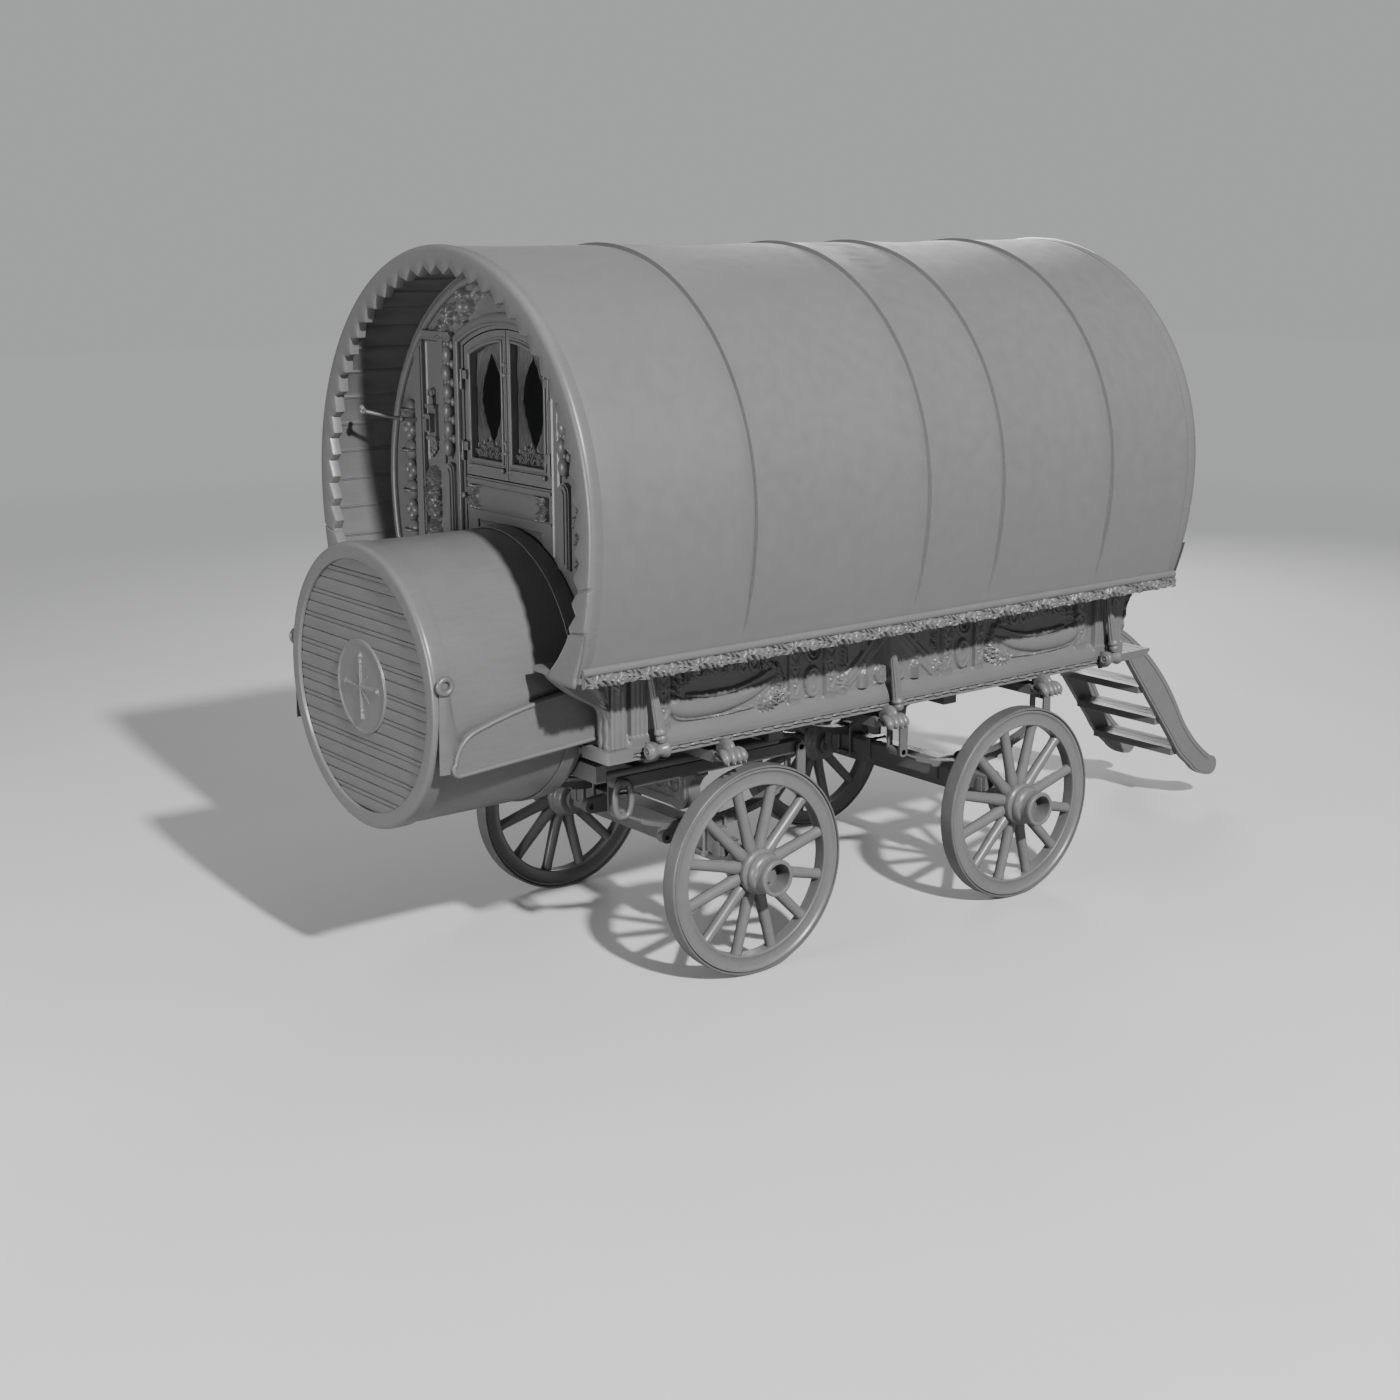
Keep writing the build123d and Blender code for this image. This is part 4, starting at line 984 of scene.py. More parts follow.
def makeStruts():
    # a fluted taper over a bulb and collars, spun about a leaning axis
    parts = []
    for y, z0, x0 in zip(stay["y"], stay["footZ"], stay["footX"]):
        low, high = np.array([x0, y + 27, z0 + 0.3]), np.array([stay["topX"], y - 27, stay["top"]])
        long = np.linalg.norm(high - low)
        f = np.linspace(0, 1, 64)
        along = f * long
        r = np.where(along < 30, 15 + 11 * halfRound((along - 16) / 15), 28 - 17 * f)
        r = np.where(along < 6, 21, r) + 3 * bump(along, 42, 5)
        r = r + 2 * bump(along, long - 40, 5) + 4 * bump(along, long - 8, 8)
        rows = spin(np.stack([along, np.ones_like(along)], 1), low, high - low, 24)
        axis = (low + (high - low) * f[:, None])[:, None]
        a = np.arange(24) * 2 * np.pi / 24
        flute = 1 - 0.2 * (0.5 + 0.5 * np.cos(8 * a))[None] * ((along > 54) & (along < long - 50))[:, None]
        parts.append(tubePart(axis + (rows - axis) * (r[:, None] * flute)[..., None]))
    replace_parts(addPiece("turnedStruts", bothSides(parts), "upright"), "struts")


makeStruts()

feet = {"paws": (-176.4, 784.6, 1826.2), "corbels": (-567, 2296)}


def makeFeet():
    # paws: a drooping limb, four knuckled toes and their claws; corbels: a waisted roll on a scrolled bracket
    parts = []
    for y in feet["paws"]:
        limb = smoothLine([(733, y, 1058), (764, y, 1061), (792, y, 1056), (812, y, 1044)], 14)
        fat = np.array([46, 47, 48, 50, 52, 54, 56, 56, 55, 52, 48, 43, 35, 20])
        parts.append(rod(limb, roundSection(1, 22, 0.5), fat, (0, 1, 0)))
        for k in range(4):
            dy = (k - 1.5) * 30
            out = 6 - 5 * abs(k - 1.5)
            toe = [
                (766, y + dy * 0.8, 1054), (796, y + dy * 0.94, 1060), (822 + out, y + dy * 1.02, 1054),
                (838 + out, y + dy * 1.05, 1036), (836 + out, y + dy * 1.05, 1018)]
            parts.append(tubeLine(toe, 19, 16, 14, (0, 1, 0), True, (0.6, 0.9, 1.1, 1.05, 0.5)))
            claw = [
                (841 + out, y + dy * 1.05, 1028), (851 + out, y + dy * 1.06, 1021),
                (853 + out, y + dy * 1.06, 1011)]
            parts.append(tubeLine(claw, 6, 8, 8, (0, 1, 0), True, (1.0, 0.8, 0.2)))
        for k in range(3):
            tuft = [
                (738, y + (k - 1) * 32, 1036), (764, y + (k - 1) * 38, 1029), (786, y + (k - 1) * 36, 1018)]
            parts.append(tubeLine(tuft, 13, 10, 8, (0, 1, 0), True, (1, 0.9, 0.2)))
    for y in feet["corbels"]:
        roll = [
            (-52, 8), (-52, 28), (-48, 35), (-38, 37), (-27, 33), (-12, 25), (0, 23), (12, 25), (27, 33),
            (38, 37), (48, 35), (52, 28), (52, 8)]
        parts.append(turned(roll, (800, y, 1131), (0, 1, 0), 26))
        for dy in (-52, 52):
            parts.append(ringPart((800, y + dy, 1131), (0, 1, 0), 19, 5, 24, 8))
            parts.append(blob((800, y + dy, 1131), (7, 5, 7), 7, 10))
        under = np.array([
            (735.3, 1158), (735.3, 1074), (752, 1070), (768, 1082), (784, 1100), (806, 1112), (806, 1148),
            (786, 1160)])
        parts.append(slabPart(softened(under, 2, True, 0.2), "xz", y - 27, y + 27))
    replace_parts(addPiece("carvedFeet", bothSides(parts), "carved", crease=50), "carved_feet")


makeFeet()

bracket = {"inner": 675, "outer": 740, "front": -770.3, "rear": 2430.3}


def makeBrackets():
    # the hollow front edge carries ribs of acanthus, and foliage stands out on each cheek
    parts = []
    front = [
        (4, 1151), (4, 1200), (4, 1262), (11, 1300), (31, 1328), (73, 1354), (147, 1396), (220, 1450),
        (262, 1490), (279, ledgeFoot)]
    rear = [
        (2, 1195), (6, 1222), (13, 1266), (26, 1317), (46, 1378), (70, 1432), (82, 1446), (85, 1464),
        (84, 1490), (84, ledgeFoot)]
    for post, way, line in ((bracket["front"], -1, front), (bracket["rear"], 1, rear)):
        path = smoothLine(line, 84)
        path[:, 1] = np.maximum.accumulate(path[:, 1] + np.arange(84) * 1e-3)
        w = np.linspace(0, 1, 25)
        slope = unit(np.gradient(path, axis=0))
        rib = 9 * np.abs(np.cos(1.5 * np.pi * w)) ** 0.6 - 4
        lift = rib[None] + 1.6 * np.sin(np.arange(84) * 0.5)[:, None] * np.sin(np.pi * w)[None]
        out = path[:, None, 0] + lift * slope[:, None, 1]
        up = path[:, None, 1] - 0.4 * lift * slope[:, None, 0]
        x = np.broadcast_to(bracket["inner"] + w * (bracket["outer"] - bracket["inner"]), lift.shape)
        face = np.stack([x, post + way * np.maximum(out, 0.5), np.minimum(up, ledgeFoot)], -1)
        back = face.copy()
        back[..., 1] = post
        parts.append(shellPart(face, back))
        u, k = np.meshgrid(np.linspace(0.03, 0.97, 28), np.arange(4, 82, 2), indexing="ij")
        reach, z = u * np.maximum(path[k, 0], 3), path[k, 1]
        size, wide, curl = (1, 20, ((232, 1486), 24)) if way < 0 else (0.6, 10, ((58, 1486), 12))
        motifs = [stroke(reach, z, volute(*curl, 1.5, 0, 1), 7, 12)]
        for at, angle, long in (
                ((20, 1400), 0.5, 110), ((14, 1360), 0.9, 120), ((60, 1440), 0.3, 110),
                ((120, 1466), 0.1, 100), ((10, 1300), 1.2, 90), ((8, 1250), 1.35, 70),
                ((30, 1470), -0.2, 90)):
            motifs.append(leaf(reach, z, at, angle, long * size, wide, 13))
        h = np.maximum(2.5, 2 + highest(*motifs))
        for x0, turn in ((bracket["outer"] - 1, 1), (bracket["inner"] + 1, -1)):
            plate = np.stack([x0 + turn * h, post + way * reach, np.minimum(z, 1521)], -1)
            flat = plate.copy()
            flat[..., 0] = x0 - turn
            parts.append(shellPart(plate, flat))
    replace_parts(addPiece("acanthusBrackets", bothSides(parts), "carved", crease=55), "porch_brackets")


makeBrackets()
print("struts, feet and brackets set")

# Corner posts, in place of the plain ones
corner = {"x": 745, "front": (-770, -690), "rear": (2350, 2430), "low": 1150, "high": 1476}


def makePosts():
    # plain legs with two shallow flutes and a leaf, under a plain cap; a bevelled slab carries the front ones
    parts = []
    for y0, y1, way in ((*corner["front"], -1), (*corner["rear"], 1)):
        parts.append(boxPart(corner["x"] - 80, corner["x"], y0, y1, 1133.3, ledgeFoot, 2))
        y, z = grid((y0 + 3, y1 - 3, 44), (corner["low"] + 2, corner["high"] - 2, 56))
        d = np.abs(y - (y0 + y1) / 2)
        h = 7.5 - 3.2 * np.clip(1 - ((d - 16) / 8) ** 2, 0, 1) - 4 * np.clip((d - 30) / 4, 0, 1)
        h = np.maximum(h, np.where(z > 1380, 4 + leaf(y, z, ((y0 + y1) / 2, 1384), np.pi / 2, 86, 34, 13), 0))
        parts.append(reliefPart(*backed(np.stack([corner["x"] + h, y, z], -1), 0, corner["x"] - 3)))
        if way > 0:
            x, z = grid((672, 738, 27), (corner["low"] + 44, corner["high"] - 4, 60))
            h = 5 + 2 * np.cos(2 * np.pi * (x - 705) / 16.5) + leaf(x, z, (705, 1420), -np.pi / 2, 170, 22, 5)
            parts.append(reliefPart(*backed(np.stack([x, y1 + h, z], -1), 1, y1 - 3)))
            parts.append(boxPart(corner["x"] - 80, corner["x"] + 8, y0 - 2, y1 + 8, 1133.3, 1191, 4))
        parts.append(boxPart(corner["x"] - 80, corner["x"] + 8, y0, y1, 1476, ledgeFoot, 3))
        parts.append(boxPart(
            corner["x"] - 98, corner["x"] + 14, y0 - 8 * (way < 0), y1 + 8 * (way > 0), 1462, 1476, 5))
    slab = [(588, -806), (778, -806), (778, -676), (736, -676), (736, -770), (588, -770)]
    slab = softened(slab, 1, True, 0.05)
    for grow, low, high in ((1.0, 1098, 1142), (0.985, 1142, 1150)):
        parts.append(slabPart((slab - (690, -740)) * grow + (690, -740), "xy", low, high))
    made = addPiece("postPilasters", bothSides(parts), "carved", crease=40)
    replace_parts(made, "corner_posts")


makePosts()
print("posts dressed")

# Porch: beads on the lining, the arch ribs, the uprights and carving of the front wall, beads on the rear one
porch = {"face": -760, "rear": 2430, "front": -1040, "board": 137, "lining": 72, "rib": 112, "inside": 944}


def doorLine(offset, foot, count=40):
    # up one jamb, over the flat arch of the door head and down the other
    half, r = 342 + offset, 730 + offset
    spring = bow["spring"] + math.sqrt(r * r - half * half)
    start = math.asin((spring - bow["spring"]) / r)
    a = np.linspace(start, np.pi - start, count)
    arc = np.stack([r * np.cos(a), bow["spring"] + r * np.sin(a)], 1)
    up = np.linspace(foot, spring, count)[:-1]
    return np.vstack([
        np.stack([np.full(count - 1, half), up], 1), arc,
        np.stack([np.full(count - 1, -half), up[::-1]], 1)])


def onFace(line, y):
    return np.stack([line[:, 0], np.full(len(line), float(y)), line[:, 1]], 1)


def plateOnFace(x, z, h, y):
    # a carved plate on a wall that faces forward
    return reliefPart(*backed(np.stack([x, y - h, z], -1), 1, y + 2))


def makePorch():
    # what stands clear of the drum starts above its rim, and the rest keeps outside it
    face = porch["face"]
    beads = []
    girth = cover["girth"]
    for share in np.arange(0.5 * porch["board"], girth, porch["board"]) / girth:
        for step in (-7, 0, 7):
            x, z = archAt(porch["lining"] + (0.6 if step else 0), share + step / girth)
            bead = [(x, porch["front"], z), (x, face + 1, z)]
            beads.append(tubeLine(bead, 2.4 if step else 4.6, 2, 8, (x, 0, z - 1500), False))
    addPiece("liningBeads", beads, "boards")
    along = np.linspace(0.004, 0.996, 220)
    rib = np.stack(archAt(porch["rib"], along), 1)
    fillet = np.stack(archAt(porch["lining"] + 5, along), 1)
    frameSection = softened([
        (-25, -3), (-25, 18), (-17, 22), (-12, 16), (14, 15), (19, 11), (25, 9), (25, -3)], 1, True)
    parts, half = [], []
    for line, y, section in (
            (rib, face - 3, roundSection(18, 14)), (fillet, face, roundSection(6, 8)),
            (doorLine(41, 1912), face, frameSection), (rib, porch["rear"] + 2, roundSection(14, 12))):
        parts.append(rod(onFace(line, y), section, 1.0, (0, -1, 0)))
    x, z = archAt(porch["rib"] + 16, np.linspace(0.5, 0.86, 90))
    order = np.argsort(np.abs(x))
    for at in range(446, 900, 74):
        top = np.interp(at, np.abs(x)[order], z[order])
        bead = [(at, porch["rear"] + 1, 1160 if at < 735 else 1570), (at, porch["rear"] + 1, top)]
        half.append(tubeLine(bead, 4.5, 2, 8, (0, 1, 0), False))
    spindle = 446
    z = np.linspace(2244, 2776, 110)
    core = 13 + 6 * np.sin(np.pi * (z - 2244) / 532) - 11 * np.clip((2272 - z) / 28, 0, 1)
    half.append(turned(np.stack([z, core], 1), (spindle, face - 6, 0), (0, 0, 1), 14))
    for k in range(6):
        up = 2296 + 82 * k
        half.append(blob((spindle + 4 * (-1) ** k, face - 18, up), (30, 24, 40), 11, 16))
        for side in (-1, 1):
            half.append(blob((spindle + side * 27, face - 8, up + 40), (15, 12, 21), 7, 10))
            half.append(blob((spindle + side * 13, face - 16, up + 46), (10, 10, 15), 7, 10))
    turn = np.linspace(0, np.pi, 20)
    head = np.stack([spindle + 40 * np.cos(turn), 2190 + 40 * np.sin(turn)], 1)
    outline = np.vstack([[(406, 1866), (486, 1866)], head])
    for grow, out in (((1, 1), 22), ((0.84, 0.96), 30), ((0.52, 0.86), 36)):
        half.append(slabPart(
            (outline - (spindle, 2048)) * grow + (spindle, 2048), "xz", face - out, face + 2))
    half.append(boxPart(492, 532, face - 12, face + 2, 1800, 2766, 4))
    board = np.array([(656, 1560), (664, 1556), (722, 1556), (730, 1560), (730, 2690), (656, 2764)])
    panel = np.array([(668, 1580), (718, 1580), (718, 2680), (668, 2730)])
    half.append(slabPart(board, "xz", face - 22, face + 2))
    half.append(slabPart(panel, "xz", face - 27, face - 10))
    for y0, z0, z1 in ((24, 2768, 2796), (32, 2792, 2803), (28, 2764, 2772)):
        half.append(boxPart(404, 655, face - y0, face + 2, z0, z1, 5))
    addPiece("archMouldings", parts + bothSides(half), "carved", crease=48)


makePorch()


def foliage(x, z, foot, spread, long, wide, crown, count):
    # leaves that fan out from one foot, the middle ones longest
    angles = np.linspace(*spread, count)
    sizes = long * (1 - 0.25 * np.abs(angles - np.mean(spread)) / (np.ptp(spread) + 1e-6))
    return highest(*[leaf(x, z, foot, a, size, wide, crown) for a, size in zip(angles, sizes)])


def makeFrontCarving():
    # panels with a potted plant, blocks stacked up the outer edge, and a head of rosettes, fruit and scrolls
    face, column = porch["face"], 794
    z, x = grid((1744, 2762, 160), (534, 654, 30))
    motifs = [frameRidge(x, z, 540, 648, 2214, 2756, 6, 6)]
    for up, spread, long in (
            (1964, (0.5, 2.64), 110), (2040, (0.35, 2.8), 120), (2112, (0.8, 2.34), 92),
            (1880, (0.2, 2.94), 84)):
        motifs.append(foliage(x, z, (594, up), spread, long, 19, 36, 7))
    berries = (((566, 2100), 17), ((622, 2066), 18), ((600, 2150), 15), ((560, 2010), 16), ((628, 1990), 15))
    pot = np.interp(z, [1760, 1775, 1830, 1880, 1900, 1912], [26, 22, 40, 46, 30, 44])
    pot = np.where(z < 1912, 26 * halfRound((x - 594) / pot), 0)
    h = highest(2 + highest(*motifs), pot, *[boss(x, z, at, r, 29) for at, r in berries])
    half = [plateOnFace(x, z, h, face)]
    for k in range(10):
        up = 1612 + 92 * k
        if k % 2:
            half.append(blob((column, face - 6, up), (50, 30, 46), 13, 18))
            half.append(ringPart((column, face - 8, up), (0, 0, 1), 44, 7, 20, 8))
        else:
            for dx, dz in ((-26, 0), (26, 0), (0, 26), (0, -26)):
                half.append(blob((column + dx, face - 8, up + dz), (27, 25, 26), 9, 12))
    a, r = grid((math.radians(48.2), math.radians(131.8), 220), (800, porch["inside"], 36))
    along, up = np.abs(np.pi / 2 - a) * 870, r - 800
    neck = smoothLine([(30, 30), (70, 52), (120, 96), (170, 118), (208, 104), (204, 74), (180, 78)], 70)
    motifs = [
        foliage(along, up, (530, 16), (0.7, 2.2), 96, 24, 28, 4),
        foliage(along, up, (300, 60), (-1.2, 1.3), 112, 28, 32, 4),
        foliage(along, up, (330, 76), (1.9, 4.4), 96, 26, 32, 4),
        foliage(along, up, (0, 26), (1.0, 2.14), 96, 20, 22, 5), boss(along, up, (186, 88), 14, 24),
        stroke(along, up, neck, 16, 21), stroke(along, up, neck + (4, 19), 7, 15)]
    for at, size in (((318, 70), 38), ((262, 52), 30), ((372, 40), 28), ((296, 114), 25), ((232, 92), 22)):
        motifs.append(boss(along, up, at, size, 40))
    flower = 3 + rosette(along, up, (448, 84), 58, 8, 34) + boss(along, up, (448, 84), 16, 8)
    h = np.maximum(flower, 3 + highest(*motifs))
    x, z = r * np.cos(a), bow["spring"] + r * np.sin(a)
    addPiece("frontCarving", bothSides(half) + [plateOnFace(x, z, h, face)], "carved", crease=60)


makeFrontCarving()

lantern = {
    "x": -594, "z": 2400,
    "arm": ((-709, -762, 2396), (-738, -850, 2406), (-770, -930, 2424), (-800, -1010, 2445))}


def makeLantern():
    # a stepped box with small hangings, and a turned arm with a ball and two buds
    cx, cz, face = lantern["x"], lantern["z"], porch["face"]
    parts = []
    for half, low, high, out in (
            (34, -70, 66, 16), (40, -84, -66, 24), (24, -48, 20, 40), (30, 20, 34, 46), (38, 60, 76, 28),
            (18, 76, 108, 20), (12, -40, 12, 52)):
        parts.append(boxPart(cx - half, cx + half, face - out, face - 1, cz + low, cz + high, 4))
    for dx, low in ((-26, -128), (-8, -150), (10, -136), (27, -118)):
        cord = [(cx + dx, face - 12, cz - 82), (cx + dx, face - 12, cz + low)]
        parts.append(tubeLine(cord, 4, 2, 8, (0, 1, 0), False))
        parts.append(blob((cx + dx, face - 12, cz + low), (8, 7, 13), 7, 10))
    parts.append(ringPart((cx, face - 22, cz + 128), (0, 1, 0), 17, 5, 24, 8))
    arm = np.array(lantern["arm"], float)
    parts.append(tubeLine(arm, 9, 30, 12, (0, 0, 1), True, (1.5, 1, 0.9, 0.85, 1.1)))
    for at, size in (
            (arm[0] + (0, 3, 0), (26, 9, 26)), (arm[1], (14, 8, 14)), (arm[3], (17, 17, 17)),
            (arm[3] + (-16, 4, 14), (12, 12, 12)), (arm[3] + (14, -8, 12), (10, 10, 12))):
        parts.append(blob(at, size, 9, 14))
    addPiece("porchLantern", parts, "iron")


makeLantern()
print("porch dressed")

# Doors: bead round each pane, lace along its foot, bolts on the stiles, and mouldings on the other leaves
leafFace = -756
pane = {"x0": 40, "x1": 283, "z0": 2268, "r": 672, "glass": -742}


def paneLine(grow):
    # along the foot, up the hinge side, back along the arched head and down the meeting side
    x0, x1, z0, r = pane["x0"] - grow, pane["x1"] + grow, pane["z0"] - grow, pane["r"] + grow
    foot, head = np.linspace(x0, x1, 14), np.linspace(x1, x0, 26)
    arch = bow["spring"] + np.sqrt(r * r - head * head)
    up, down = np.linspace(z0, arch[0], 22)[1:-1], np.linspace(arch[-1], z0, 22)[1:-1]
    return np.vstack([
        np.stack([foot, np.full(14, z0)], 1), np.stack([np.full(20, x1), up], 1), np.stack([head, arch], 1),
        np.stack([np.full(20, x0), down], 1)])


def makeCasements():
    beadSection = softened([(-7, -2), (-7, 6), (-3, 9), (3, 9), (7, 6), (7, -2)], 1, True)
    parts = [rod(onFace(paneLine(7), leafFace), beadSection, 1.0, (0, -1, 0), True)]
    parts.append(rod(onFace(paneLine(23), leafFace), roundSection(3.5, 8), 1.0, (0, -1, 0), True))
    for z in (2306, 2350, 2640, 2684):
        parts.append(turned([(-9, 2), (-8, 7), (-3, 12), (1, 12)], (19, leafFace, z), (0, 1, 0), 14))
    parts.append(boxPart(26, 292, leafFace - 13, leafFace + 1, 2222, 2240, 6))
    for x in (30, 288):
        parts.append(blob((x, leafFace - 10, 2231), (12, 9, 12), 9, 14))
    count = 5
    for k in range(count):
        x = pane["x0"] + 26 + (pane["x1"] - pane["x0"] - 52) * k / (count - 1)
        tall = 56 + 34 * (1 - abs(k - 2) / 2)
        for way in (-1, 1):
            curl = volute((x + way * 11, pane["z0"] + tall - 30), 15, 1.3, np.pi / 2 - way * 1.2, way, 24)
            stem = smoothLine([
                (x, pane["z0"] - 2), (x + way * 3, pane["z0"] + 0.4 * tall), tuple(curl[0])], 8)
            parts.append(tubeLine(
                onFace(np.vstack([stem[:-1], curl]), pane["glass"]), 3, 31, 6, (0, 1, 0), False))
        parts.append(blob((x, pane["glass"], pane["z0"] + tall), (6, 3.5, 11), 7, 10))
        if k < count - 1:
            arc = [(x + 4, pane["z0"] + 10), (x + 24, pane["z0"] + 30), (x + 43, pane["z0"] + 10)]
            parts.append(tubeLine(onFace(np.array(arc), pane["glass"]), 3, 12, 6, (0, 1, 0), True))
    for side, way in (("left", 1), ("right", -1)):
        group = parts if way > 0 else [mirrored(p) for p in parts]
        addPiece("casementTrim" + side.title(), group, "upright", f"casement_{side}")


makeCasements()


def makeDoorTrim():
    # lower leaf: leaves in the corners of one panel, two sprays in the other; rear door: framed panels
    parts = []
    x, z = grid((-306, 306, 110), (2050, 2150, 26))
    s, t = 300 - np.abs(x), 44 - np.abs(z - 2100)
    motifs = [leaf(s, t, (-6, -4), angle, 96 - 26 * angle, 19, 26) for angle in (0.0, 0.4, 0.8, 1.25)]
    h = 3 + highest(frameRidge(x, z, -300, 300, 2056, 2144, 5, 4), *motifs)
    parts.append(plateOnFace(x, z, h, leafFace))
    x, z = grid((-250, 250, 100), (1696, 1994, 58))
    s = np.abs(x)
    h = 2 + highest(
        frameRidge(s, z, -244, 244, 1702, 1988, 6, 5),
        foliage(s, z, (150, 1850), (-0.6, 3.7), 104, 22, 9.5, 9),
        foliage(s, z, (150, 1830), (-2.4, -0.7), 110, 22, 9, 5), boss(s, z, (150, 1842), 26, 10))
    parts.append(plateOnFace(x, z, h, leafFace + 10))
    parts += [
        boxPart(-330, 330, leafFace - 9, leafFace + 1, 2160, 2176, 5),
        boxPart(-330, 330, leafFace - 7, leafFace + 1, 2028, 2042, 5)]
    knob = [(-40, 5), (-39, 12), (-33, 16), (-26, 14), (-21, 8), (-8, 8), (-6, 18), (1, 18)]
    parts.append(turned(knob, (-318, leafFace, 2100), (0, 1, 0), 20))
    rear = []
    for low, high in ((1248, 1609), (1692, 2021)):
        rear.append(boxPart(-196, 196, 2414, 2423, low + 56, high - 56, 6))
        for side in (-1, 1):
            mid, end = (low + high) / 2, (high - low) / 2 - 8
            rear.append(boxPart(-250, 250, 2412, 2424, mid + side * end - 8, mid + side * end + 8, 5))
            rear.append(boxPart(side * 242 - 8, side * 242 + 8, 2412, 2424, low + 2, high - 2, 5))
    addPiece("rearDoorTrim", rear, "upright", "rear_door", crease=55)
    addPiece("frontDoorTrim", parts, "upright", "front_door", crease=55)


makeDoorTrim()

curtain = {"x0": 30, "x1": 293, "z0": 2258, "r": 682, "face": -723, "folds": 6, "thin": 1.4}


def makeCurtains():
    # two drapes a window that meet at the head and the foot and part between them, with shallow folds
    drapes, areas = [], 0.0
    mid, half = (curtain["x0"] + curtain["x1"]) / 2, (curtain["x1"] - curtain["x0"]) / 2
    g, f = grid((0, 1, 60), (0, 1, 41))
    gap = np.interp(
        curtain["z0"] + g * 510, [2258, 2334, 2400, 2470, 2532, 2590, 2655, 2723, 2768],
        [0.6, 1, 42, 72, 86, 78, 46, 1, 0.6])
    gap = gap + 2 * np.sign(np.sin(g * 62)) * (gap > 6)
    for way in (-1, 1):
        x = mid + way * (half - f * (half - gap))
        z = curtain["z0"] + g * (bow["spring"] + np.sqrt(curtain["r"] ** 2 - x * x) - curtain["z0"])
        fold = np.sin(
            2 * np.pi * curtain["folds"] * f + 0.6 * np.sin(5 * g)) * (3.8 + 0.9 * np.sin(np.pi * g))
        sheet = np.stack([x, curtain["face"] + fold, z], -1)
        across, upward = np.diff(sheet, axis=1)[:-1], np.diff(sheet, axis=0)[:, :-1]
        areas += np.linalg.norm(np.cross(across, upward), axis=-1).sum() * 1e-6
        drapes.append(shellPart(sheet, sheet + (0, curtain["thin"], 0)))
    uv = np.tile(np.stack([f * 0.165, g * 0.52], -1).reshape(-1, 2), (4, 1))
    for side, way in (("left", 1), ("right", -1)):
        group = drapes if way > 0 else [mirrored(p) for p in drapes]
        made = addPiece("curtain" + side.title(), group, "cloth", f"casement_{side}", crease=60, uv=uv)
        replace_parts(made, f"curtain_{side}")
    print("curtain cloth, square metres:", round(areas, 4))


makeCurtains()
print("doors dressed")

# Drum fittings
fitting = {"eyeZ": 1504, "eyeY": -1474, "tip": 1142}


def makeDrumFittings():
    # medallion: a rimmed disc with a cross and rays; lugs: ring eyes on flared straps; cheeks: a roped edge
    rho, a = np.meshgrid(
        np.linspace(2, drum["medallion"], 46), np.arange(160) * 2 * np.pi / 160, indexing="ij")
    x, z = rho * np.cos(a), rho * np.sin(a)
    motifs = [5 * halfRound((rho - 195) / 7), boss(x, z, (0, 0), 15, 11)]
    for k in range(4):
        way = np.array([math.cos(k * np.pi / 2), math.sin(k * np.pi / 2)])
        bar = np.outer(np.linspace(0, 128, 60), way)
        ray = np.outer(np.linspace(8, 92, 50), np.array([way[0] - way[1], way[0] + way[1]]) * 0.7071)
        motifs += [
            stroke(x, z, bar, 7, 9), boss(x, z, way * 132, 14, 11), boss(x, z, way * 104, 9, 10),
            stroke(x, z, ray, np.linspace(8, 2.5, 50), np.linspace(8, 2, 50))]
    h = 4 + highest(*motifs)
    y1 = drum["front"] + 17
    front = np.stack([x, np.maximum(y1 - 2 - h, drum["front"]), drum["z"] + z], -1)
    edge = front[-1].copy()
    edge[:, 1] = y1
    disc = tubePart(np.concatenate([front, edge[None]]))
    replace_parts(addPiece("drumMedallion", [disc], "carved", crease=50), "drum_medallion")
    y, z0 = fitting["eyeY"], fitting["eyeZ"]
    parts = [
        ringPart((619, y, z0), (1, 0, 0), 29, 12.5, 40, 14),
        turned([(-6, 4), (-6, 20), (3, 21), (6, 12), (7, 4)], (612, y, z0), (1, 0, 0), 24)]
    u, v = grid((-1, 1, 15), (0, 1, 34))
    half = 25 + 34 * v ** 1.2
    centre = y + 4 + 26 * v ** 1.5
    zs = z0 - 34 + (fitting["tip"] - z0 + 34) * v
    proud = 13 - 10 * u ** 2
    face = np.stack([606.6 + proud, np.maximum(centre + u * half, drum["front"] + 1), zs], -1)
    back = face.copy()
    back[..., 0] = 606.6
    parts.append(shellPart(face, back))
    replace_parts(addPiece("drumLugs", bothSides(parts), "iron"), "drum_lugs")
    nose, rear, z = -1456, -760.3, drum["z"]
    line = np.vstack([
        np.linspace((rear - 6, z - 212), (nose + 40, z - 260), 30),
        arcThrough((nose + 31, z - 262), (nose + 6, z - 246), (nose + 14, z - 208), 12)[1:],
        arcThrough((nose + 15, z - 206), (nose + 48, z - 130), (nose + 110, z - 90), 14)[1:],
        arcThrough((nose + 112, z - 89), (nose + 328, z - 32), (rear - 132, z + 2), 30)[1:],
        [(rear - 6, z + 8)]])
    run = np.concatenate([[0], np.cumsum(np.linalg.norm(np.diff(line, axis=0), axis=1))])
    even = np.arange(0, run[-1], 7.0)
    rope = np.stack([np.interp(even, run, line[:, k]) for k in range(2)], 1)
    path = np.stack([np.full(len(rope), 636.5), rope[:, 0], rope[:, 1]], 1)
    twist = 9.3 * (1 + 0.1 * np.cos(np.arange(len(rope)) * np.pi))
    parts = [rod(path, roundSection(1, 10), twist, (1, 0, 0))]
    addPiece("cheekBeads", bothSides(parts), "painted")


makeDrumFittings()
print("drum fitted")

# Running gear: shackles, spring clips and bands, bolster carving
gear = {"x": 430, "half": 510, "eye": 761, "top": 899, "base": 1680}


